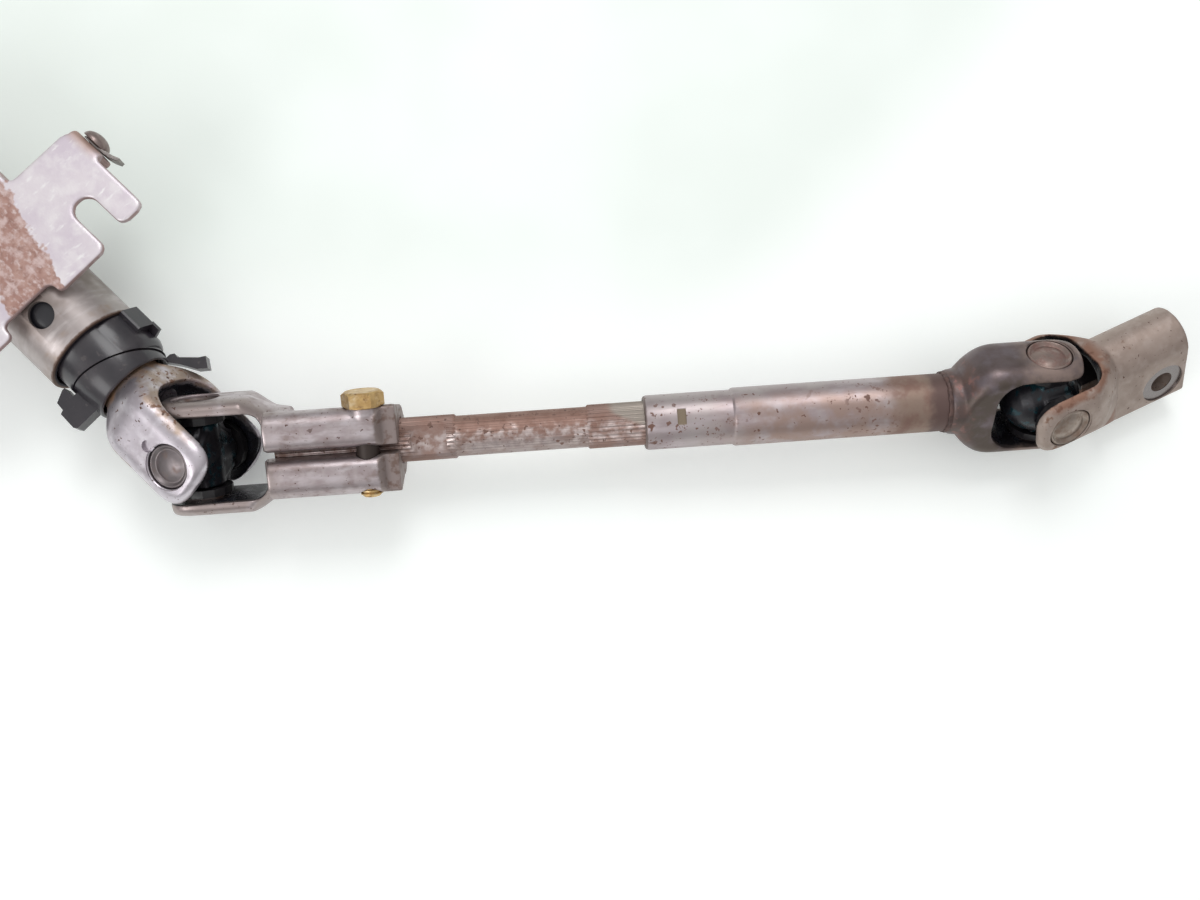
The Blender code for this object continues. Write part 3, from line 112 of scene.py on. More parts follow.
class Coat:
    """A material made of coats, each laid over the last where its mask is 1."""

    def __init__(self, name, seat, colour, roughness, metallic, bump=0.00012):
        self.mat = bpy.data.materials.new(name)
        self.mat.use_nodes = True
        self.tree = self.mat.node_tree
        self.bsdf = self.tree.nodes["Principled BSDF"]
        place = self.add("ShaderNodeTexCoord").outputs["Object"]
        inverse = seat.inverted()
        turn = {"Vector": place, "Rotation": inverse.to_euler(), "Location": inverse.translation}
        self.spot = self.add("ShaderNodeMapping", turn).outputs[0]
        split = self.add("ShaderNodeSeparateXYZ", {0: self.spot})
        self.x, self.y, self.z = split.outputs
        self.colour = colour
        self.roughness = roughness
        self.metallic = metallic
        self.height = 0.5
        self.bump = bump

    def add(self, kind, inputs=None, **settings):
        made = self.tree.nodes.new(kind)
        for key, value in settings.items():
            setattr(made, key, value)
        for key, value in (inputs or {}).items():
            if isinstance(value, bpy.types.NodeSocket):
                self.tree.links.new(value, made.inputs[key])
            else:
                made.inputs[key].default_value = value
        return made

    def sum(self, operation, a, b=0.0):
        return self.add("ShaderNodeMath", {0: a, 1: b}, operation=operation).outputs[0]

    def both(self, *masks):
        out = masks[0]
        for mask in masks[1:]:
            out = self.sum("MULTIPLY", out, mask)
        return out

    def away(self, value):
        return self.sum("ABSOLUTE", value)

    def rise(self, value, low, high):
        """0 below low and 1 above high, or the other way round where low is the larger."""
        made = self.add("ShaderNodeMapRange", {"Value": value, "From Min": low, "From Max": high},
                        interpolation_type="SMOOTHSTEP")
        return made.outputs[0]

    def noise(self, size, detail=3.0, rough=0.55, stretch=(1, 1, 1), shift=0.0):
        """Noise with features of about the size in mm, drawn out along the frame's axes."""
        scale = [1 / (size * MM * s) for s in stretch]
        move = {"Vector": self.spot, "Scale": scale, "Location": (shift, shift, shift)}
        spot = self.add("ShaderNodeMapping", move).outputs[0]
        look = {"Vector": spot, "Scale": 1.0, "Detail": detail, "Roughness": rough}
        return self.add("ShaderNodeTexNoise", look).outputs["Fac"]

    def patches(self, size, cover, soft=0.3, **look):
        """Blotches that cover about the given share of the surface."""
        level = 0.5 + (0.5 - cover) * 0.42
        return self.rise(self.noise(size, **look), level - soft / 2, level + soft / 2)

    def radius(self):
        """Distance from the frame's X axis."""
        return self.sum("SQRT", self.sum("ADD", self.both(self.y, self.y), self.both(self.z, self.z)))

    def zone(self, value, low, high, soft=0.001, ragged=0.0, size=3.0):
        """1 where a coordinate lies between two values, with a ragged border, in metres."""
        if ragged:
            wander = self.sum("SUBTRACT", self.noise(size, shift=7.3), 0.5)
            value = self.sum("ADD", value, self.both(wander, ragged * 2))
        inside = self.rise(value, low - soft, low + soft)
        return self.both(inside, self.rise(value, high + soft, high - soft))

    def spots(self, size, cover, colour, shift=0.0, where=None, height=0.45):
        """Small dark pits or specks with a crisp border."""
        mask = self.patches(size, cover, 0.035, shift=shift, detail=2)
        if where:
            mask = self.both(mask, where)
        self.lay(mask, colour, 0.75, 0.2, height)

    def lay(self, mask, colour, roughness=None, metallic=None, height=None):
        self.colour = self.add("ShaderNodeMix", {0: mask, 6: self.colour, 7: colour},
                               data_type="RGBA").outputs[2]
        if roughness is not None:
            self.roughness = self.mixed(mask, self.roughness, roughness)
        if metallic is not None:
            self.metallic = self.mixed(mask, self.metallic, metallic)
        if height is not None:
            self.height = self.mixed(mask, self.height, height)

    def mixed(self, mask, a, b):
        return self.add("ShaderNodeMix", {0: mask, 2: a, 3: b}, data_type="FLOAT").outputs[0]

    def roughen(self, size, amount, **look):
        """Uneven surface: adds noise to the height."""
        grain = self.both(self.sum("SUBTRACT", self.noise(size, **look), 0.5), amount)
        self.height = self.sum("ADD", self.height, grain)

    def done(self, **fixed):
        """Wire the coats into the shader; other sockets get plain values."""
        for key, value in (("Base Color", self.colour), ("Roughness", self.roughness),
                           ("Metallic", self.metallic)):
            if isinstance(value, bpy.types.NodeSocket):
                self.tree.links.new(value, self.bsdf.inputs[key])
            else:
                self.bsdf.inputs[key].default_value = value
        if isinstance(self.height, bpy.types.NodeSocket):
            relief = self.add("ShaderNodeBump", {"Height": self.height, "Distance": self.bump,
                                                 "Strength": 1.0})
            self.tree.links.new(relief.outputs[0], self.bsdf.inputs["Normal"])
        for key, value in fixed.items():
            self.bsdf.inputs[key.replace("_", " ")].default_value = value
        return self.mat


# Near black of grease and painted shade in the forks' mouths
GREASE_AND_SHADE = srgb(26, 24, 28)
# Painted reflection: a lighter bluish colour laid on the dark mouths
PAINTED_BLUE_REFLECTION = srgb(40, 42, 50)
PIT = srgb(92, 66, 58)


def grease_and_mouth_shade(coat, gap, half_height):
    """Near-black grease and painted shade in a fork's mouth, on the inner faces of the ears and in the
    crotch, with a painted bluish reflection in patches.
    """
    crotch, corner = gap
    past = coat.sum("MAXIMUM", coat.sum("SUBTRACT", coat.x, (crotch - corner) * MM), 0.0)
    side = coat.sum("MAXIMUM", coat.sum("SUBTRACT", coat.away(coat.y), (EAR_INNER - corner) * MM), 0.0)
    reach = coat.sum("SQRT", coat.sum("ADD", coat.both(past, past), coat.both(side, side)))
    inner = coat.rise(reach, (corner + 0.45) * MM, (corner + 0.2) * MM)
    low = coat.zone(coat.away(coat.z), -0.01, half_height * MM, 0.001, 0.002, 4)
    mouth = coat.both(inner, low)
    # Grease with painted shade: the mouth between the ears is laid near black
    coat.lay(mouth, GREASE_AND_SHADE, 0.3, 0.2, 0.42)
    # Painted reflection: bluish patches over the dark mouth
    coat.lay(coat.both(mouth, coat.patches(4, 0.4, shift=3)), PAINTED_BLUE_REFLECTION, 0.2)


def tube_material():
    coat = Coat("tube", COLUMN, srgb(178, 169, 167), 0.38, 0.88, 0.0001)
    coat.lay(coat.patches(14, 0.45), srgb(160, 151, 149), 0.42)
    coat.lay(coat.patches(5, 0.3, stretch=(0.5, 2, 2), shift=2), srgb(188, 180, 179))
    # Painted shade: a darker band round the tube where the bracket overhangs it, broken into patches
    near = coat.zone(coat.x, 0.066, 0.09, 0.006, 0.005, 9)
    coat.lay(coat.both(near, coat.patches(16, 0.6)), srgb(132, 121, 116), 0.46, 0.8)
    stain = coat.both(coat.zone(coat.x, 0.056, 0.060, 0.0012, 0.003, 6), coat.patches(9, 0.25, shift=5))
    coat.lay(stain, srgb(160, 142, 130), 0.45)
    coat.lay(coat.zone(coat.x, 0.054, 0.0557, 0.0004, 0.0005, 2), srgb(108, 88, 78), 0.5, 0.7)
    # Painted shade: the inside of the tube is laid near black
    coat.lay(coat.rise(coat.radius(), 0.0182, 0.0176), srgb(34, 30, 38), 0.6, 0.3)
    coat.roughen(1.6, 0.2)
    return coat.done()


def bracket_material():
    coat = Coat("plated_bracket", Matrix(), srgb(224, 216, 221), 0.4, 0.45, 0.00015)
    coat.lay(coat.patches(18, 0.5), srgb(210, 199, 209), 0.44)
    coat.lay(coat.patches(7, 0.35, shift=6), srgb(230, 224, 227), 0.42)
    coat.lay(coat.patches(4, 0.1, 0.2, stretch=(0.5, 1.6, 1), shift=4), srgb(238, 235, 236), 0.5, 0.35)
    wander = coat.both(coat.sum("SUBTRACT", coat.noise(9, shift=2), 0.5), 0.016)
    across = coat.sum("ADD", coat.sum("ADD", coat.y, wander), coat.both(coat.x, 0.22))
    rust = coat.both(coat.rise(across, -0.012, -0.005), coat.rise(across, 0.0170, 0.0110))
    rust = coat.both(rust, coat.rise(coat.x, 0.2, 0.1))
    mottled = coat.rise(coat.sum("ADD", rust, coat.both(coat.noise(3.2, 4), 0.9)), 0.82, 1.18)
    coat.lay(mottled, srgb(182, 148, 138), 0.66, 0.25, 0.6)
    coat.lay(coat.both(mottled, coat.patches(7, 0.5)), srgb(164, 126, 116), 0.74, 0.15, 0.66)
    coat.lay(coat.both(mottled, coat.patches(4.5, 0.35, 0.2, shift=3)), srgb(204, 180, 176), 0.6, 0.3, 0.5)
    coat.lay(coat.both(mottled, coat.patches(2.4, 0.22, 0.3, shift=5)), srgb(148, 112, 102), 0.8, 0.1, 0.66)
    streak = coat.patches(2.2, 0.22, 0.26, stretch=(1.2, 0.8, 1), shift=9)
    coat.lay(coat.both(mottled, streak), srgb(210, 190, 187), 0.54, 0.3, 0.54)
    front = coat.zone(coat.x, 0.066, 0.0735, 0.001, 0.004, 4)
    tip = coat.zone(coat.y, 0.0175, 0.0335, 0.003, 0.004, 4)
    flecks = coat.patches(2.4, 0.4, 0.14, shift=2)
    coat.lay(coat.both(front, tip, flecks), srgb(178, 144, 136), 0.7, 0.2, 0.58)
    normal = coat.add("ShaderNodeSeparateXYZ", {0: coat.add("ShaderNodeTexCoord").outputs["Normal"]})
    side = coat.rise(coat.away(normal.outputs[2]), 0.9, 0.4)
    coat.lay(coat.both(side, coat.patches(8, 0.8)), srgb(172, 146, 144), 0.55, 0.35)
    lug = coat.both(coat.zone(coat.y, 0.0490, 0.080, 0.0026), coat.rise(coat.x, -0.009, -0.017))
    coat.lay(lug, srgb(172, 144, 133), 0.6, 0.35)
    coat.roughen(1.2, 0.3)
    return coat.done()


def plastic_material():
    coat = Coat("plastic", COLUMN, srgb(40, 37, 43), 0.3, 0.0, 0.00006)
    coat.lay(coat.patches(9, 0.45), srgb(50, 45, 50), 0.36)
    coat.lay(coat.patches(3, 0.12, 0.1, shift=4), srgb(66, 60, 62), 0.45)
    # Painted shade: the plastic inside the tube, beyond its mouth, is laid near black
    coat.lay(coat.rise(coat.x, 0.0555, 0.0575), srgb(14, 12, 22), 0.5)
    coat.roughen(4, 0.3)
    return coat.done(Coat_Weight=0.3, Coat_Roughness=0.15, IOR=1.5)


def shaft_yoke_material():
    coat = Coat("shaft_yoke", WHEEL, srgb(198, 191, 198), 0.33, 0.92)
    coat.lay(coat.patches(10, 0.45), srgb(180, 172, 178), 0.38)
    coat.lay(coat.patches(3.5, 0.3, shift=5), srgb(208, 202, 208))
    rim = coat.zone(coat.away(coat.z), 0.0116, 0.02, 0.001, 0.002, 5)
    rim = coat.both(rim, coat.rise(coat.x, -0.004, 0.006))
    coat.lay(coat.both(rim, coat.patches(6, 0.7)), srgb(164, 146, 134), 0.46, 0.8)
    coat.lay(coat.both(rim, coat.patches(2.4, 0.22, 0.1, shift=3)), srgb(128, 98, 82), 0.6, 0.5)
    neck = coat.zone(coat.x, 0.0335, 0.055, 0.0025, 0.004, 6)
    coat.lay(neck, srgb(186, 152, 126), 0.46, 0.7)
    coat.lay(coat.both(neck, coat.patches(6, 0.45)), srgb(160, 122, 96), 0.52, 0.6)
    coat.spots(2.4, 0.05, PIT, where=coat.rise(coat.x, 0.006, 0.016))
    coat.spots(1.2, 0.03, PIT, shift=4)
    grease_and_mouth_shade(coat, SHAFT_GAP, 11.4)
    coat.roughen(1.4, 0.14)
    return coat.done()


def clamp_yoke_material():
    coat = Coat("clamp_yoke", CLAMP, srgb(184, 173, 175), 0.34, 0.9)
    coat.lay(coat.patches(10, 0.5), srgb(164, 151, 152), 0.4)
    coat.lay(coat.patches(5, 0.3, shift=3), srgb(146, 131, 129), 0.44, 0.8)
    coat.lay(coat.patches(3, 0.3, stretch=(3, 1, 1), shift=6), srgb(196, 187, 190), 0.3)
    ear = coat.both(coat.zone(coat.x, -0.02, 0.027, 0.004, 0.005, 8), coat.rise(coat.z, 0.004, 0.009))
    coat.lay(coat.both(ear, coat.patches(8, 0.7)), srgb(160, 147, 144), 0.38, 0.87)
    coat.spots(2.2, 0.06, PIT, shift=1, where=coat.patches(14, 0.5))
    coat.spots(1.1, 0.035, PIT, shift=4)
    lip = coat.zone(coat.x, 0.0645, 0.08, 0.0005, 0.0008, 3)
    coat.lay(lip, srgb(146, 133, 130), 0.5, 0.75)
    coat.lay(coat.both(lip, coat.patches(3, 0.3, 0.2)), srgb(120, 100, 92), 0.6, 0.5)
    grease_and_mouth_shade(coat, CLAMP_GAP, 12.2)
    coat.roughen(1.4, 0.16)
    return coat.done()


def bolt_material(name, seat, shank_in_painted_shade=False):
    """Yellow zinc; the shank may be laid near black where it crosses the gap between the barrels, as
    painted shade in the slot.
    """
    coat = Coat(name, seat, srgb(204, 172, 118), 0.38, 0.8)
    coat.lay(coat.patches(4, 0.45), srgb(182, 148, 98), 0.44)
    coat.lay(coat.patches(2, 0.2, 0.15, shift=3), srgb(146, 112, 76), 0.6, 0.5)
    coat.lay(coat.patches(3, 0.2, shift=6), srgb(222, 204, 170), 0.35)
    if shank_in_painted_shade:
        # Painted shade: the shank is laid near black where it lies in the slot between the barrels
        coat.lay(coat.rise(coat.away(coat.y), 0.0066, 0.0056), srgb(58, 48, 44), 0.5, 0.4)
    coat.roughen(1.0, 0.2)
    return coat.done()


def shaft_material():
    coat = Coat("rusty_shaft", CLAMP, srgb(170, 156, 154), 0.42, 0.8, 0.00014)
    coat.lay(coat.patches(7, 0.4, stretch=(1.6, 1, 1)), srgb(152, 132, 126), 0.5, 0.7)
    wander = coat.both(coat.sum("SUBTRACT", coat.noise(6), 0.5), 0.006)
    upper = coat.rise(coat.sum("ADD", coat.y, wander), -0.0035, 0.0025)
    coat.lay(upper, srgb(150, 120, 109), 0.52, 0.65, 0.54)
    coat.lay(coat.both(upper, coat.patches(5, 0.4, shift=2)), srgb(136, 104, 92), 0.58, 0.55, 0.56)
    splined = coat.sum("SUBTRACT", 1.0, coat.zone(coat.x, 0.0905, 0.1388, 0.0006))
    coat.lay(coat.both(splined, coat.patches(8, 0.7, shift=6)), srgb(152, 126, 117), 0.5, 0.65)
    # Painted highlight: bright, smoother patches in a band along the middle of the shaft
    painted_highlight = coat.zone(coat.y, -0.004, 0.003, 0.002, 0.003, 5)
    painted_highlight = coat.both(painted_highlight, coat.patches(3.0, 0.42, 0.3, shift=8))
    coat.lay(painted_highlight, srgb(200, 186, 183), 0.34, 0.9)
    coat.spots(2.6, 0.12, srgb(122, 94, 84), 2, height=0.58)
    coat.spots(1.5, 0.05, srgb(104, 80, 72), 6, height=0.58)
    sloped = coat.sum("ADD", coat.y, coat.both(coat.sum("SUBTRACT", coat.x, 0.150), 0.45))
    grease = coat.both(coat.rise(coat.x, 0.145, 0.149), coat.rise(sloped, 0.0035, 0.0055))
    coat.lay(grease, srgb(160, 150, 141), 0.34, 0.4)
    coat.roughen(1.2, 0.24)
    return coat.done()


def sleeve_material():
    coat = Coat("sleeve", SLEEVE, srgb(178, 168, 168), 0.44, 0.86, 0.0001)
    coat.lay(coat.patches(14, 0.45), srgb(164, 150, 152), 0.42)
    coat.lay(coat.patches(4, 0.3, stretch=(4, 1, 1), shift=2), srgb(186, 175, 178))
    brown = coat.zone(coat.x, 0.044, 0.115, 0.015, 0.01, 14)
    brown = coat.both(brown, coat.rise(coat.z, 0.003, -0.007))
    coat.lay(coat.both(brown, coat.patches(9, 0.6, shift=3)), srgb(160, 138, 130), 0.44)
    rusty = coat.rise(coat.z, 0.006, -0.006)
    rusty = coat.both(rusty, coat.patches(26, 0.6, shift=1))
    for size, cover, shift in ((3.6, 0.13, 0), (2.3, 0.11, 4), (1.3, 0.05, 8)):
        coat.spots(size, cover, srgb(118, 88, 78), shift, rusty, 0.56)
    coat.spots(1.6, 0.04, srgb(112, 82, 72), 11)
    heat = coat.zone(coat.x, 0.030, 0.0560, 0.0060, 0.006, 7)
    coat.lay(heat, srgb(146, 126, 114), 0.5, 0.7)
    coat.lay(coat.both(heat, coat.patches(6, 0.5)), srgb(132, 104, 94), 0.56, 0.6)
    coat.lay(coat.zone(coat.x, 0.030, 0.0425, 0.0022, 0.003, 5), srgb(104, 84, 80), 0.56, 0.6)
    mark = coat.zone(coat.x, 0.1306, 0.1340, 0.0002)
    coat.lay(coat.both(mark, coat.rise(coat.radius(), 0.00985, 0.0097)), srgb(132, 118, 100), 0.55, 0.5)
    coat.lay(coat.zone(coat.x, 0.1447, 0.15, 0.0002, 0.0003, 2), srgb(128, 115, 112), 0.5)
    coat.roughen(1.6, 0.14)
    return coat.done()


def sleeve_yoke_material():
    coat = Coat("sleeve_yoke", SLEEVE, srgb(112, 100, 101), 0.4, 0.85)
    coat.lay(coat.patches(9, 0.5), srgb(98, 86, 84), 0.44)
    coat.lay(coat.patches(6, 0.3, shift=5), srgb(120, 110, 114), 0.36)
    rim = coat.zone(coat.away(coat.z), 0.0098, 0.02, 0.001, 0.0015, 5)
    coat.lay(coat.both(rim, coat.patches(6, 0.6, shift=1)), srgb(96, 86, 80), 0.46)
    collar = coat.zone(coat.x, 0.0275, 0.04, 0.002, 0.003, 5)
    coat.lay(coat.both(collar, coat.patches(6, 0.5)), srgb(104, 84, 79), 0.5, 0.65)
    coat.lay(coat.both(collar, coat.patches(3.4, 0.14, 0.2, shift=3)), srgb(142, 104, 98), 0.56, 0.5, 0.55)
    ear = coat.zone(coat.x, -0.02, 0.010, 0.004, 0.004, 6)
    coat.lay(coat.both(ear, coat.patches(7, 0.6, shift=2)), srgb(138, 121, 114), 0.46, 0.75)
    grease_and_mouth_shade(coat, LOWER_GAP, 9.8)
    coat.roughen(1.6, 0.18)
    return coat.done()


def pinion_yoke_material():
    coat = Coat("pinion_yoke", PINION, srgb(166, 150, 141), 0.5, 0.72)
    coat.lay(coat.patches(10, 0.5), srgb(154, 138, 129), 0.54)
    coat.lay(coat.patches(4, 0.3, shift=4), srgb(172, 157, 149), 0.5)
    coat.lay(coat.patches(5.5, 0.06, 0.08, shift=9), srgb(128, 100, 84), 0.62, 0.5)
    coat.spots(1.3, 0.02, PIT, shift=2)
    rim = coat.zone(coat.away(coat.z), 0.0096, 0.02, 0.0008, 0.0012, 4)
    rim = coat.both(rim, coat.rise(coat.x, 0.027, 0.021))
    coat.lay(coat.both(rim, coat.patches(6, 0.75)), srgb(142, 108, 92), 0.56, 0.6)
    coat.lay(coat.both(rim, coat.patches(3, 0.3, 0.2, shift=6)), srgb(118, 84, 70), 0.62, 0.5)
    grease_and_mouth_shade(coat, LOWER_GAP, 10.6)
    # Painted shade: the inside of the shaft bore is laid near black
    coat.lay(coat.rise(coat.radius(), 0.0084, 0.0081), srgb(44, 38, 40), 0.5, 0.3)
    spot = coat.both(coat.zone(coat.x, 0.0365, 0.0545, 0.0003), coat.rise(coat.z, 0.002, 0.003))
    spot = coat.both(spot, coat.zone(coat.y, 0.00985, 0.01035, 0.00004))
    coat.lay(spot, srgb(134, 128, 127), 0.26, 0.95, 0.5)
    coat.roughen(1.4, 0.24)
    return coat.done()


def cup_material(name, seat, colour, stain, share):
    coat = Coat(name, seat, colour, 0.34, 0.88)
    coat.lay(coat.patches(5, 0.5), tuple(v * 0.8 for v in colour[:3]) + (1.0,), 0.42)
    coat.lay(coat.patches(3.5, share, shift=4), stain, 0.55, 0.6, 0.55)
    coat.roughen(1.0, 0.2)
    return coat.done()


def cross_material(name, seat):
    # Near black: grease, and painted shade deep inside the joint
    coat = Coat(name, seat, srgb(34, 33, 38), 0.3, 0.4)
    coat.lay(coat.patches(6, 0.4), srgb(48, 46, 50), 0.4)
    # Painted reflection: teal patches that stand for the greenish table seen in the grease
    coat.lay(coat.patches(4, 0.3, 0.15, shift=4), srgb(28, 58, 66), 0.22)
    coat.roughen(2.0, 0.5)
    return coat.done()


def seal_material():
    coat = Coat("seal", Matrix(), srgb(24, 22, 25), 0.36, 0.0)
    coat.lay(coat.patches(3, 0.35), srgb(36, 33, 35), 0.5)
    coat.roughen(1.6, 0.4)
    return coat.done()


def weld_material():
    coat = Coat("weld", SLEEVE, srgb(92, 74, 71), 0.5, 0.65)
    coat.lay(coat.patches(3, 0.4, shift=2), srgb(106, 82, 76), 0.62, 0.5)
    coat.lay(coat.patches(2, 0.3, shift=5), srgb(74, 60, 58), 0.5)
    coat.roughen(1.2, 0.5)
    return coat.done()


def clean_steel(name, colour, roughness):
    coat = Coat(name, Matrix(), colour, roughness, 0.95)
    coat.lay(coat.patches(2.0, 0.4, stretch=(0.3, 2, 2)), tuple(v * 0.85 for v in colour[:3]) + (1.0,))
    coat.roughen(0.8, 0.12)
    return coat.done()


def alloy_material():
    coat = Coat("alloy", Matrix(), srgb(184, 184, 186), 0.5, 0.8)
    coat.lay(coat.patches(4, 0.4), srgb(166, 166, 170), 0.56)
    coat.roughen(0.5, 0.7)
    return coat.done()


plated = bracket_material()
race = clean_steel("bearing_steel", srgb(200, 200, 204), 0.2)
dull = clean_steel("dull_steel", srgb(150, 143, 140), 0.42)
plastic = plastic_material()
seal = seal_material()
alloy = alloy_material()
looks = {
    "column_tube": tube_material(), "lower_bracket": plated, "upper_bracket": plated,
    "bracket_rivet": cup_material("rivet", COLUMN, srgb(150, 134, 130), srgb(116, 100, 96), 0.35),
    "bracket_clip": dull, "capsule_left": alloy, "capsule_right": alloy,
    "bearing_retainer": plastic, "dust_collar": plastic, "bearing_circlip": dull,
    "steering_shaft": clean_steel("shaft_steel", srgb(92, 86, 88), 0.42),
    "wheel_nut": bolt_material("nut_zinc", COLUMN),
    "shaft_yoke": shaft_yoke_material(), "upper_cross": cross_material("upper_cross", UPPER_CROSS),
    "clamp_yoke": clamp_yoke_material(),
    "pinch_bolt": bolt_material("yellow_zinc", CLAMP, shank_in_painted_shade=True),
    "intermediate_shaft": shaft_material(), "slip_sleeve": sleeve_material(),
    "sleeve_yoke": sleeve_yoke_material(), "lower_cross": cross_material("lower_cross", LOWER_CROSS),
    "pinion_yoke": pinion_yoke_material(),
}
cup_looks = {
    "shaft_yoke": cup_material("shaft_yoke_cup", WHEEL, srgb(134, 126, 127), srgb(124, 106, 100), 0.15),
    "clamp_yoke": cup_material("clamp_yoke_cup", CLAMP, srgb(130, 120, 118), srgb(104, 84, 76), 0.3),
    "sleeve_yoke": cup_material("sleeve_yoke_cup", SLEEVE, srgb(154, 136, 129), srgb(130, 102, 95), 0.35),
    "pinion_yoke": cup_material("pinion_yoke_cup", PINION, srgb(160, 146, 136), srgb(128, 106, 92), 0.25),
}
for name in frame["nodes"]:
    if "_seal_" in name:
        looks[name] = seal
    elif "_cup_" in name:
        looks[name] = cup_looks[name.split("_cup_")[0]]
    elif name not in looks:
        looks[name] = race
for name, node in frame["nodes"].items():
    node.data.materials.clear()
    node.data.materials.append(looks[name])


# Shapes are modelled in mm in the frame of their body, and seated in it at the end

BODY_OF = {node: body for body, nodes in frame["record"]["behaviour"]["bodies"].items() for node in nodes}


def new_object(name, bm):
    bmesh.ops.recalc_face_normals(bm, faces=bm.faces)
    mesh = bpy.data.meshes.new(name)
    bm.to_mesh(mesh)
    bm.free()
    made = bpy.data.objects.new(name, mesh)
    bpy.context.scene.collection.objects.link(made)
    return made


def loft(name, rings, closed=False):
    """Skin over rings of equal counts of points; its ends are capped, or meet if it is closed."""
    bm = bmesh.new()
    rows = [[bm.verts.new(p) for p in ring] for ring in rings]
    pairs = list(zip(rows, rows[1:])) + ([(rows[-1], rows[0])] if closed else [])
    for low, high in pairs:
        for i in range(len(low)):
            bm.faces.new((low[i - 1], low[i], high[i], high[i - 1]))
    if not closed:
        bm.faces.new(rows[0])
        bm.faces.new(rows[-1])
    return new_object(name, bm)


def turned(name, profile, closed=False, facets=96):
    """Turn a profile of (x, radius) about X; closed where it is a ring's section."""
    turns = [2 * pi * i / facets for i in range(facets)]
    tiny = 0.01
    rings = [[(x, max(r, tiny) * cos(a), max(r, tiny) * sin(a)) for a in turns] for x, r in profile]
    return loft(name, rings, closed)


def prism(name, outline, low, high, axis="Z"):
    """Extrude a closed outline along an axis; for Y the outline is (x, z), for X it is (y, z)."""
    spot = {"X": lambda u, v, t: (t, u, v), "Y": lambda u, v, t: (u, t, v),
            "Z": lambda u, v, t: (u, v, t)}[axis]
    return loft(name, [[spot(u, v, t) for u, v in outline] for t in (low, high)])


def arc(cx, cy, radius, start, end, points):
    """Points on an arc, both ends included, angles in degrees."""
    turns = [radians(start + (end - start) * i / (points - 1)) for i in range(points)]
    return [(cx + radius * cos(a), cy + radius * sin(a)) for a in turns]


def rod(radius, low, high, axis="X", at=(0.0, 0.0), facets=64):
    return prism("rod", arc(*at, radius, 0, 360, facets + 1)[:-1], low, high, axis)


def box(low, high):
    outline = [(low[0], low[1]), (high[0], low[1]), (high[0], high[1]), (low[0], high[1])]
    return prism("box", outline, low[2], high[2])


def turn(shape, angle, axis="X"):
    shape.data.transform(Matrix.Rotation(radians(angle), 4, axis))
    return shape


def apply(shape):
    bpy.context.view_layer.update()
    graph = bpy.context.evaluated_depsgraph_get()
    mesh = bpy.data.meshes.new_from_object(shape.evaluated_get(graph))
    shape.modifiers.clear()
    shape.data = mesh


def combine(target, tools, operation):
    for tool in tools:
        made = target.modifiers.new("combine", "BOOLEAN")
        made.operation = operation
        made.solver = "EXACT"
        made.object = tool
        apply(target)
        bpy.data.objects.remove(tool)


def cut(target, *tools):
    combine(target, tools, "DIFFERENCE")


def join(target, *tools):
    combine(target, tools, "UNION")


def forge(shape, voxel, soften, keep=0.3):
    """Round every edge, as on a forging: an even skin of small faces, smoothed and thinned out."""
    remesh = shape.modifiers.new("skin", "REMESH")
    remesh.mode = "VOXEL"
    remesh.voxel_size = voxel
    smooth = shape.modifiers.new("soften", "SMOOTH")
    smooth.factor = 0.5
    smooth.iterations = soften
    thin = shape.modifiers.new("thin", "DECIMATE")
    thin.ratio = keep
    apply(shape)


def copy_of(node, seat):
    """A CAD node's shape in mm in a body's frame."""
    mesh = frame["nodes"][node].data.copy()
    mesh.transform(Matrix.Scale(1 / MM, 4) @ seat.inverted())
    made = bpy.data.objects.new(node + "_copy", mesh)
    bpy.context.scene.collection.objects.link(made)
    bm = bmesh.new()
    bm.from_mesh(mesh)
    bmesh.ops.remove_doubles(bm, verts=bm.verts, dist=0.002)
    bm.to_mesh(mesh)
    bm.free()
    return made


def dress(shape, name, seat, node=None, body=None, look=None, crease=40):
    """Seat a finished shape in its body and let it stand for its CAD node."""
    shape.name = name
    mesh = shape.data
    mesh.transform(seat @ Matrix.Scale(MM, 4))
    mesh.materials.clear()
    mesh.materials.append(look or looks[node])
    mesh.shade_smooth()
    mesh.set_sharp_from_angle(angle=radians(crease))
    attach(shape, body or BODY_OF[node])
    if node:
        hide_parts(node)
    return shape


# Universal joints

def section(x, half_y, low, high, round_y, round_z, top_round=None, points=12):
    """A rectangle in the plane at x; its corners are elliptical, or round at the top."""
    half_z = (high - low) / 2
    middle = (high + low) / 2
    ring = []
    for k, (side_y, side_z) in enumerate(((1, 1), (-1, 1), (-1, -1), (1, -1))):
        wide, tall = round_y, round_z
        if top_round and side_z > 0:
            wide = tall = top_round
        wide = min(wide, half_y)
        tall = min(tall, half_z)
        for i in range(points):
            a = radians(90 * (k + i / (points - 1)))
            ring.append((x, side_y * (half_y - wide) + wide * cos(a),
                         middle + side_z * (half_z - tall) + tall * sin(a)))
    return ring


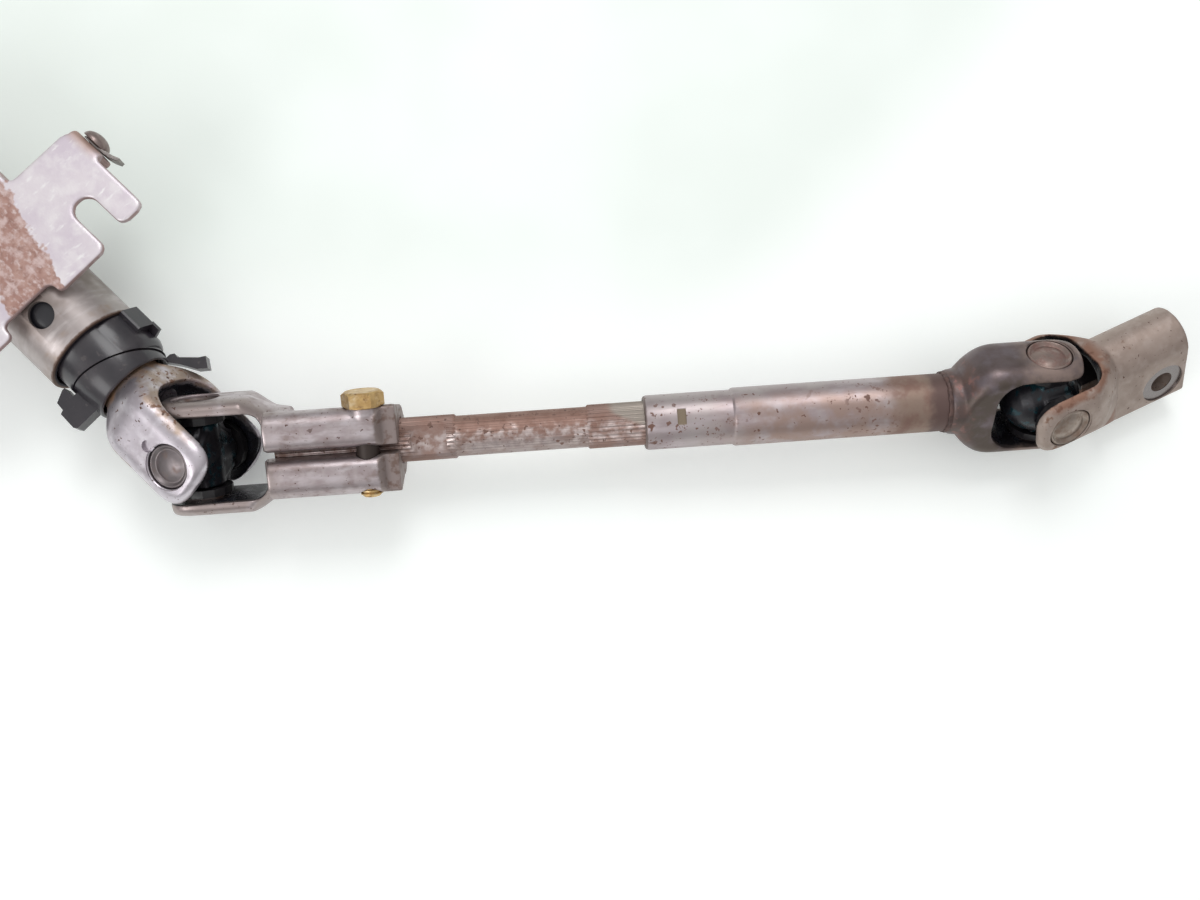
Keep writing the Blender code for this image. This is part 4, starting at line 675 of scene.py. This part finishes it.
def fork(name, ear, neck, stations, power, after, face=EAR_FACE, tip_round=3.0, ease=False):
    """A solid fork: rounded ear tips, ears, and a shoulder that closes in on the neck.

    A section is (half width along the pins, low edge, high edge, corner along and across the pins),
    with the corners at the high edge last if they are round.
    """
    half_height = ear[2]
    rings = []
    steps = 18
    blunt = 0.985                # the tip stops just short of a point
    for i in range(steps):
        share = -blunt * cos(pi / 2 * i / (steps - 1))
        x = EAR_TIP * share
        height = half_height * (1 - abs(share) ** 3) ** (1 / 3)
        depth = max(0.0, tip_round - (x + EAR_TIP))
        drop = tip_round - sqrt(max(0.0, tip_round ** 2 - depth ** 2))
        rings.append(section(x, face - drop, -height, height, *ear[3:]))
    start, end = stations
    steps = 20
    for i in range(steps + 1):
        t = (i / steps) ** power
        if ease:
            t = t * t * (3 - 2 * t)
            early = 1 - (1 - (i / steps) ** power) ** 2
            shares = (t, t ** 3, t ** 3, early, early)
        else:
            shares = (t,) * len(neck)
        values = [a + (b - a) * s for a, b, s in zip(ear, neck, shares)]
        rings.append(section(start + (end - start) * i / steps, *values))
    for x, *values in after:
        rings.append(section(x, *values))
    return loft(name, rings)


def round_section(radius):
    return (radius, -radius, radius, radius, radius)


def fork_gap(crotch, corner, inner=EAR_INNER):
    outline = [(-FAR, inner), (0, inner)]
    outline += arc(crotch - corner, inner - corner, corner, 90, 0, 16)
    outline += arc(crotch - corner, corner - inner, corner, 0, -90, 16)
    outline += [(0, -inner), (-FAR, -inner)]
    return prism("gap", outline, -FAR, FAR)


def cup_bores(face, edge=0.35):
    """One cutter through both ears, opened a little at their outer faces."""
    profile = [(-FAR, CUP_BORE + edge), (-face, CUP_BORE + edge), (edge - face, CUP_BORE),
               (face - edge, CUP_BORE), (face, CUP_BORE + edge), (FAR, CUP_BORE + edge)]
    return turn(turned("bores", profile, facets=72), 90, "Z")


def shaft_yoke():
    """Forged yoke on the steering shaft, with a stake mark beside each cup."""
    half = 13.8
    neck = 11.9
    bore = 9.3
    yoke = fork("shaft_yoke", (UPPER_EAR_FACE, -half, half, 6.0, 7.0), round_section(neck), (19.0, 36.5),
                1.5, [(49.0, *round_section(neck)), (50.0, *round_section(neck - 1.0))],
                face=UPPER_EAR_FACE, ease=True)
    cut(yoke, fork_gap(*SHAFT_GAP))
    forge(yoke, 0.45, 9)
    stake_at = (10.0, -0.6)
    stake_floor = 18.9
    stakes = [rod(2.2, low, high, "Y", stake_at, 24)
              for low, high in ((stake_floor, FAR), (-FAR, -stake_floor))]
    cut(yoke, rod(bore, 0, FAR), cup_bores(UPPER_EAR_FACE - 0.4), *stakes)
    return dress(yoke, "forged_shaft_yoke", WHEEL, "shaft_yoke")


def split_outline(bore, half_slot, side, back):
    """Section of a split clamp: a bore open along the slot, then round the outside."""
    lip = sqrt(bore * bore - half_slot * half_slot)
    edge = degrees(atan2(lip, half_slot))
    outline = arc(0, 0, bore, 180 - edge, 360 + edge, 48)
    outline += [(half_slot + y, z) for y, z in side]
    outline += back
    return outline + [(-half_slot - y, z) for y, z in reversed(side)]


def clamp_yoke():
    """Yoke of folded plate with two barrels that the pinch bolt pulls together."""
    bore = 8.3
    side = 15.6
    back = 13.0
    crest = 18.4
    height = 13.2
    half_slot = 1.6
    body_start = 25.8
    body_end = 71.6
    bore_end = 45.8
    yoke = fork("clamp_yoke", (UPPER_EAR_FACE, -height, height, 3.6, 5.0),
                (side, -back, height, back, back), (18.0, 30.0), 1.0,
                [(33.0, side - 0.6, 0.6 - back, height - 0.8, back, back)],
                face=UPPER_EAR_FACE, tip_round=1.4, ease=True)
    # How far a barrel is rounded on the side of the slot and on the outer side
    inside = 4.4
    outside = 6.4
    barrel = arc(inside, crest - inside, inside, 180, 90, 12)
    barrel += arc(side - half_slot - outside, crest - outside, outside, 90, 0, 18)
    base = arc(0, 0, back, 8, -188, 40)
    join(yoke, prism("body", split_outline(bore, half_slot, barrel, base), body_start, body_end, "X"),
         rod(5.6, 9.0, side - 0.1, "Y", BOLT_SPOT))
    cut(yoke, rod(bore, 0, bore_end), box((18.6, -half_slot, 4.0), (bore_end, half_slot, FAR)))
    lip = [(64.8, FAR), (64.8, crest - 0.4), (67.0, crest - 4.0), (74.0, crest - 4.0), (74.0, FAR)]
    cut(yoke, prism("lip", lip, -FAR, FAR, "Y"), fork_gap(*CLAMP_GAP))
    forge(yoke, 0.45, 6)
    cut(yoke, cup_bores(UPPER_EAR_FACE - 0.2), rod(4.35, -FAR, FAR, "Y", BOLT_SPOT))
    return dress(yoke, "pressed_clamp_yoke", CLAMP, "clamp_yoke")


def sleeve_yoke():
    """Forged yoke with a round neck and a spigot in the sleeve."""
    half = 11.3
    neck = 12.3
    collar = [(x, *round_section(radius)) for x, radius in ((32.2, 12.1), (34.2, 11.8), (35.2, 11.2))]
    yoke = fork("sleeve_yoke", (EAR_FACE, -half, half, 5.0, 6.5), round_section(neck), (16.0, 31.0), 2.7,
                collar)
    cut(yoke, fork_gap(*LOWER_GAP))
    forge(yoke, 0.42, 6)
    cut(yoke, cup_bores(EAR_FACE - 0.3))
    spigot = turned("spigot", [(33.0, 0), (33.0, 8.3), (46.4, 8.3), (47.2, 7.5), (47.2, 0)])
    join(yoke, spigot)
    return dress(yoke, "forged_sleeve_yoke", SLEEVE, "sleeve_yoke")


def pinion_yoke():
    """Yoke with a split clamp body, a bolt hole through it and a spot face round the hole."""
    half = 11.5
    back = 10.9
    bore = 8.0
    nose = 21.3
    end = 55.2
    hole = (45.4, 11.2)
    half_slot = 1.5
    body = (back, -back, nose, back, back, 2.6)
    yoke = fork("pinion_yoke", (EAR_FACE, -half, half, 5.0, 7.0, 6.0), body, (10.5, 25.9), 1.5,
                [(end, *body)])
    slot = box((16.0, -half_slot, 4.0), (FAR, half_slot, FAR))
    cut(yoke, rod(bore, 0, FAR), slot, fork_gap(*LOWER_GAP))
    forge(yoke, 0.42, 5)
    spot_face = 10.1
    cut(yoke, cup_bores(EAR_FACE - 0.3), rod(4.3, -FAR, FAR, "Y", hole),
        rod(8.3, spot_face, FAR, "Y", hole))
    return dress(yoke, "forged_pinion_yoke", PINION, "pinion_yoke")


def cups():
    """Bearing cups: a rim, a groove inside it, and a low dome."""
    face = CUP_FACE
    # How far each point of the front lies behind the face, and its radius
    front = ((0.1, 0.0), (0.14, 1.5), (0.3, 3.0), (0.62, 4.4), (1.15, 5.6), (1.25, 6.0), (1.1, 6.3),
             (0.2, 6.9), (0.02, 7.15), (0.05, 7.4), (0.3, 7.75), (0.7, CUP_RADIUS))
    floor = face - 1.9
    inner = 6.6
    profile = [(face - behind, radius) for behind, radius in front]
    profile += [(CUP_MOUTH, CUP_RADIUS), (CUP_MOUTH, inner), (floor, inner), (floor, 0.0)]
    for label, seat in (("shaft_yoke", WHEEL), ("clamp_yoke", CLAMP), ("sleeve_yoke", SLEEVE),
                        ("pinion_yoke", PINION)):
        for side, turn_z in (("a", 90), ("b", -90)):
            cup = turned("cup", profile, facets=72)
            node = f"{label}_cup_{side}"
            dress(turn(cup, turn_z, "Z"), "bearing_" + node, seat, node, crease=50)


def crosses():
    """Forged spiders with two crossed arms; the lower one's hub is swollen into a dark lump that fills the
    view through the joint, as painted shade.
    """
    half_arm = [(17.3, 0.0), (17.3, 4.3), (16.7, 4.9), (11.4, 4.9), (11.4, 6.4), (10.8, 7.0)]
    arm = [(-x, radius) for x, radius in half_arm] + [(0.0, 7.6)] + half_arm[::-1]
    reach = 11.0
    hollow = 4.0
    web = []
    for k in range(4):
        curve = arc(reach, reach, hollow, 180, 270, 8)
        spin = Matrix.Rotation(pi / 2 * k, 2)
        web += [tuple(spin @ Vector(p)) for p in reversed(curve)]
    flat = [(-6.6, 0), (-6.6, 9.0), (-4.0, 12.3)]
    flat += [(-x, radius) for x, radius in reversed(flat)]
    # Painted shade: the lower hub swells into a dark lump that blocks the view through the joint
    shade_lump = [(-14.6, 0), (-14.0, 4.0), (-12.0, 7.5), (-9.0, 10.2), (-4.5, 12.2)]
    shade_lump += [(-x, radius) for x, radius in reversed(shade_lump)]
    for label, seat, outline in (("upper", UPPER_CROSS, flat), ("lower", LOWER_CROSS, shade_lump)):
        spider = turned("spider", arm, facets=48)
        hub = turned("hub", outline)
        join(spider, turn(turned("arm", arm, facets=48), 90, "Z"), prism("web", web, -5.5, 5.5),
             turn(hub, 90, "Y"))
        forge(spider, 0.4, 3)
        dress(spider, label + "_spider", seat, label + "_cross", crease=50)


def pinch_bolt():
    """Hexagon bolt: washer face, chamfered head, shank and rolled thread."""
    seat = 15.4
    top = seat + 5.6
    flats = 13.0
    radius = 3.95
    root = 3.4                   # radius at the foot of the thread
    washer = 6.2
    corner = flats / 2 / cos(pi / 6)
    head = prism("head", arc(0, 0, corner, 0, 360, 7)[:-1], seat + 0.4, top, "X")
    limit = [(seat, 0), (seat, corner + 1), (top - 1.3, corner + 0.3), (top, 6.1), (top, 0)]
    combine(head, [turned("limit", limit, facets=72)], "INTERSECT")
    pitch = 1.25
    tip = -16.6
    shank = [(tip, 0.0), (tip, 3.0), (tip + 0.8, 3.6)]
    x = tip + 0.8
    while x < -6.0:
        shank += [(x + pitch * 0.1, radius), (x + pitch * 0.4, radius), (x + pitch * 0.75, root),
                  (x + pitch, root + 0.05)]
        x += pitch
    shank += [(x + 0.5, radius), (seat, radius), (seat, washer), (seat + 0.6, washer), (seat + 0.6, 0.0)]
    bolt = turned("bolt", shank, facets=48)
    join(bolt, head)
    x, z = BOLT_SPOT
    place = CLAMP @ Matrix.Translation(Vector((x, 0, z)) * MM) @ Matrix.Rotation(pi / 2, 4, "Z")
    return dress(bolt, "hexagon_bolt", place, "pinch_bolt", crease=30)


# Tubes, shafts, brackets and plastic

def slip_sleeve():
    """Stepped tube with a stake mark near its mouth."""
    start = 145.4
    end = 35.5
    step = start - 32.7
    outer, waist = 10.6, 9.95
    spline, relief = 8.13, 8.6
    spline_end = 98.4
    profile = [(end, outer), (step, outer), (step + 0.5, 10.35), (step + 1.0, waist), (start - 1.2, waist),
               (start - 0.35, 9.6), (start, 9.1), (start, 8.5), (start - 0.6, spline), (spline_end, spline),
               (spline_end, relief), (end, relief)]
    sleeve = turned("sleeve", profile, closed=True)
    mark = start - 13.1
    stake = box((mark - 1.6, -3.0, 9.35), (mark + 1.6, 3.0, FAR))
    cut(sleeve, turn(stake, -130))
    return dress(sleeve, "sliding_sleeve", SLEEVE, "slip_sleeve", crease=30)


def weld_bead():
    """Ring of weld over the seam between the sleeve and its yoke."""
    facets = 120
    points = 10
    rings = []
    for i in range(facets):
        a = 2 * pi * i / facets
        ripple = 0.12 * sin(23 * a) + 0.1 * sin(9 * a + 1)
        ring = []
        for x, r in arc(0, 0, 1.0, 0, 360 - 360 / points, points):
            radius = 10.75 + (r + ripple) * 0.55
            ring.append((35.5 + x * (1.0 + ripple), radius * cos(a), radius * sin(a)))
        rings.append(ring)
    bead = loft("bead", rings, closed=True)
    return dress(bead, "sleeve_weld", SLEEVE, body="sleeve", look=weld_material(), crease=60)


def column_tube():
    """Jacket tube with a round hole near its mouth."""
    back = 392.0
    front = TUBE_FRONT
    outer = 19.05
    bore = 16.95
    profile = [(front + 0.6, outer), (back - 0.5, outer), (back, outer - 0.5), (back, bore + 0.4),
               (back - 0.4, bore), (front + 0.3, bore), (front, bore + 0.3), (front, outer - 0.6),
               (front + 0.15, outer - 0.25)]
    tube = turned("tube", profile, closed=True, facets=128)
    hole = turned("hole", [(outer - 6, 4.8), (outer - 0.5, 4.8), (outer + 0.2, 5.2), (FAR, 5.2)], facets=64)
    hole.data.transform(Matrix.Translation(Vector((front + 15.0, 0, 0)))
                        @ Matrix.Rotation(radians(-9), 4, "X") @ Matrix.Rotation(radians(-90), 4, "Y"))
    cut(tube, hole)
    return dress(tube, "jacket_tube", COLUMN, "column_tube", crease=30)


def ring_joint(side, offset):
    """Everything on one side of the slanted joint between the two plastic rings."""
    low, high = sorted((0, side * FAR))
    block = box((low, -FAR, -FAR), (high, FAR, FAR))
    shear = Matrix.Identity(4)
    shear[0][1] = 0.32
    shear[0][2] = 0.10
    shear[0][3] = RING_JOINT + offset
    block.data.transform(shear)
    return block


def bearing_retainer():
    """Plug in the tube's mouth with a raised side and one latch tab."""
    profile = [(RING_FRONT, RING_RADIUS), (64.0, RING_RADIUS), (65.0, 16.65), (75.7, 16.65), (75.7, 14.65),
               (66.0, 14.65), (62.0, RING_BORE), (RING_FRONT, RING_BORE)]
    ring = turned("ring", profile, closed=True, facets=160)
    mouth = TUBE_FRONT - 0.3
    lobe = [(39.5, 0), (39.5, 13.4), (40.1, 14.2), (41.9, 15.0), (mouth, 15.0), (mouth, 0)]
    raised = turned("lobe", lobe, facets=128)
    raised.data.transform(Matrix.Translation(Vector((0, -3.3, 0))))
    cut(raised, rod(14.75, 0, FAR, facets=96))
    join(ring, raised)
    cut(ring, ring_joint(-1, 0.25))
    tab_outline = [(-9.3, 15.1), (-1.0, 15.1), (-1.0, 19.4), (-1.6, 20.0), (-8.7, 20.0), (-9.3, 19.4)]
    tab = prism("tab", tab_outline, 45.5, mouth, "X")
    nib = box((42.3, -9.3, 15.8), (46.5, -7.9, 20.0))
    join(ring, turn(tab, 55), turn(nib, 55))
    return dress(ring, "moulded_bearing_retainer", COLUMN, "bearing_retainer", crease=35)


def dust_collar():
    """Ring round the yoke's neck with a latch arm on one side and a hook on the other."""
    front = RING_FRONT
    back = 52.8
    profile = [(front + 0.8, RING_BORE), (front, 14.2), (front, 14.4), (front + 0.25, 14.95),
               (front + 0.8, 15.2), (RING_JOINT, RING_RADIUS), (back, RING_RADIUS), (back, RING_BORE)]
    ring = turned("ring", profile, closed=True, facets=160)
    cut(ring, ring_joint(1, -0.45))
    root = RING_BORE + 0.3
    clear = RING_RADIUS + 0.6
    arm = [(1.8, root), (11.4, root), (11.4, clear), (15.8, clear), (15.8, 17.8), (13.7, 22.2),
           (10.4, 22.5), (9.8, 24.0), (3.0, 24.3), (1.8, 23.4)]
    hook = [(1.4, -root), (1.4, -17.0), (0.4, -18.4), (-1.4, -18.2), (-6.9, -23.4), (-8.4, -25.6),
            (-12.2, -23.0), (-9.6, -20.0), (-3.8, -16.9), (0.8, -root)]
    for outline, low, high in ((arm, 0.5, 6.5), (hook, -7.6, -2.6)):
        join(ring, prism("latch", [(front + x, y) for x, y in outline], low, high))
    return dress(ring, "moulded_dust_collar", COLUMN, "dust_collar", crease=35)


def intermediate_shaft():
    """Shaft with rounded serrations at both ends and a milled notch beside the clamp."""
    teeth = 32
    points = 8 * teeth
    # Radius, and depth of the teeth
    end = (7.0, 0.0)
    neck = (7.35, 0.0)
    full = (8.0, 0.5)
    stations = [(27.0, *end), (27.9, *full), (90.8, *full), (91.4, *neck), (138.3, *neck), (138.9, *full),
                (221.3, *full), (222.2, *end)]
    rings = []
    for x, radius, depth in stations:
        ring = []
        for i in range(points):
            a = 2 * pi * i / points
            r = radius - depth * (0.5 - 0.5 * cos(teeth * a))
            ring.append((x, r * cos(a), r * sin(a)))
        rings.append(ring)
    shaft = loft("shaft", rings)
    notch = prism("notch", [(74.6, 12.0), (74.6, 8.1), (75.6, 7.0), (77.6, 6.1), (80.0, 5.8), (88.1, 5.8),
                            (88.1, 12.0)], -FAR, FAR, "Y")
    cut(shaft, turn(notch, -8))
    return dress(shaft, "serrated_shaft", CLAMP, "intermediate_shaft")


def moulded(node, name, voxel, soften, keep, crease=60):
    """A CAD node's own shape with its edges rounded over."""
    shape = copy_of(node, COLUMN)
    forge(shape, voxel, soften, keep)
    return dress(shape, name, COLUMN, node, crease=crease)


def bracket_clip():
    """Short spring strip under the rivet, its free end bent away from the lug."""
    at, height = RIVET_SPOT
    face = -LUG_FACE - 0.05
    # Along the lug from the rivet, and off the lug
    middle = [(3.4, 0.1), (1.5, 0.1), (-3.0, 0.1), (-6.0, 0.3), (-8.6, 0.8), (-11.4, 1.9)]
    rings = []
    for along, off in middle:
        x = at + along
        y = face - off
        thick = 0.9 if along > -5 else 1.5
        rings.append([(x, y, height - 3.0), (x, y, height + 3.0), (x, y - thick, height + 3.0),
                      (x, y - thick, height - 3.0)])
    strip = loft("strip", rings)
    cut(strip, rod(2.3, -FAR, 0, "Y", RIVET_SPOT))
    forge(strip, 0.3, 3, 0.5)
    return dress(strip, "spring_clip", COLUMN, "bracket_clip", crease=50)


def bracket_rivet():
    """Rivet with a domed head outside and a spread tail inside the lug."""
    at, height = RIVET_SPOT
    face = LUG_FACE
    profile = [(face - 4.5, 0.0), (face - 4.5, 2.2), (face - 3.2, 2.8), (face - 3.2, 2.0),
               (face + 1.1, 2.0), (face + 1.1, 5.2)]
    profile += [(face + 1.3 + 3.6 * sin(radians(a)), 5.4 * cos(radians(a))) for a in range(0, 90, 10)]
    profile += [(face + 4.9, 0.0)]
    rivet = turned("rivet", profile, facets=48)
    seat = COLUMN @ Matrix.Translation(Vector((at, 0, height)) * MM) @ Matrix.Rotation(-pi / 2, 4, "Z")
    return dress(rivet, "domed_rivet", seat, "bracket_rivet", crease=50)


shaft_yoke()
clamp_yoke()
sleeve_yoke()
pinion_yoke()
cups()
crosses()
pinch_bolt()
slip_sleeve()
weld_bead()
column_tube()
moulded("lower_bracket", "pressed_lower_bracket", 0.7, 4, 0.35)
moulded("upper_bracket", "pressed_upper_bracket", 0.8, 3, 0.3)
dust_collar()
bearing_retainer()
intermediate_shaft()
for side in ("left", "right"):
    moulded(f"capsule_{side}", f"cast_capsule_{side}", 0.5, 3, 0.3)
moulded("wheel_nut", "flanged_wheel_nut", 0.3, 2, 0.3, 40)
bracket_clip()
bracket_rivet()


# Table, light and camera

FLOOR_AT = -0.0447               # a hair under the object's lowest point


def table():
    """Pale table top; what the camera and reflections see of it is lifted towards white."""
    mesh = bpy.data.meshes.new("table")
    bm = bmesh.new()
    bmesh.ops.create_grid(bm, x_segments=8, y_segments=8, size=2.5)
    bm.to_mesh(mesh)
    bm.free()
    floor = bpy.data.objects.new("table", mesh)
    floor.location = (0.2, 0.1, FLOOR_AT)
    bpy.context.scene.collection.objects.link(floor)
    coat = Coat("table_top", Matrix(), srgb(249, 252, 250), 0.5, 0.0)
    shade = coat.rise(coat.sum("ADD", coat.y, coat.both(coat.x, -0.9)), 0.04, 0.14)
    coat.lay(coat.both(shade, coat.rise(coat.x, 0.02, -0.04)), srgb(222, 230, 224))
    coat.lay(coat.both(coat.patches(150, 0.4), 0.5), srgb(243, 249, 247))
    path = coat.add("ShaderNodeLightPath")
    seen = coat.sum("MAXIMUM", path.outputs["Is Camera Ray"], path.outputs["Is Glossy Ray"])
    seen = coat.sum("MAXIMUM", seen, path.outputs["Is Transmission Ray"])
    lift = 0.16
    coat.tree.links.new(coat.both(seen, lift), coat.bsdf.inputs["Emission Strength"])
    coat.bsdf.inputs["Emission Color"].default_value = srgb(250, 255, 253)
    mesh.materials.append(coat.done())


def world():
    """Soft light: bright overhead and dimmer round the horizon."""
    made = bpy.data.worlds.new("studio")
    bpy.context.scene.world = made
    made.use_nodes = True
    tree = made.node_tree
    back = tree.nodes["Background"]
    spot = tree.nodes.new("ShaderNodeTexCoord")
    split = tree.nodes.new("ShaderNodeSeparateXYZ")
    fade = tree.nodes.new("ShaderNodeMapRange")
    fade.inputs["From Min"].default_value = 0.0
    fade.inputs["From Max"].default_value = 0.95
    fade.inputs["To Min"].default_value = 0.32
    fade.inputs["To Max"].default_value = 0.80
    tree.links.new(spot.outputs["Generated"], split.inputs[0])
    tree.links.new(split.outputs[2], fade.inputs["Value"])
    tree.links.new(fade.outputs[0], back.inputs["Strength"])
    back.inputs["Color"].default_value = (1.0, 1.0, 1.0, 1.0)


def lamp(name, toward, distance, size, strength):
    """Soft square lamp; strength is about what it adds to a white surface that faces it."""
    data = bpy.data.lights.new(name, "AREA")
    data.shape = "SQUARE"
    data.size = size
    data.energy = strength * (pi * distance) ** 2
    made = bpy.data.objects.new(name, data)
    target = Vector((0.15, 0.08, -0.02))
    direction = Vector(toward).normalized()
    made.location = target + direction * distance
    made.rotation_euler = direction.to_track_quat("Z", "Y").to_euler()
    bpy.context.scene.collection.objects.link(made)


def camera():
    """The photograph's own camera, fitted to the outlines of the object in it."""
    right = Vector((0.726060, 0.687311, 0.020975))
    up = Vector((-0.682000, 0.715883, 0.149625))
    data = bpy.data.cameras.new("camera")
    data.sensor_width = 36.0
    data.lens = 37.521
    data.clip_start = 0.01
    data.clip_end = 20.0
    made = bpy.data.objects.new("camera", data)
    matrix = Matrix((right, up, right.cross(up))).transposed().to_4x4()
    matrix.translation = (0.227117, 0.043824, 0.425100)
    made.matrix_world = matrix
    bpy.context.scene.collection.objects.link(made)
    bpy.context.scene.camera = made


table()
world()
lamp("key", (-0.40, 0.45, 0.80), 1.5, 0.65, 0.28)
lamp("fill", (-0.09, -0.79, 0.60), 1.5, 0.7, 0.22)
camera()
bpy.context.scene.view_settings.view_transform = "Standard"
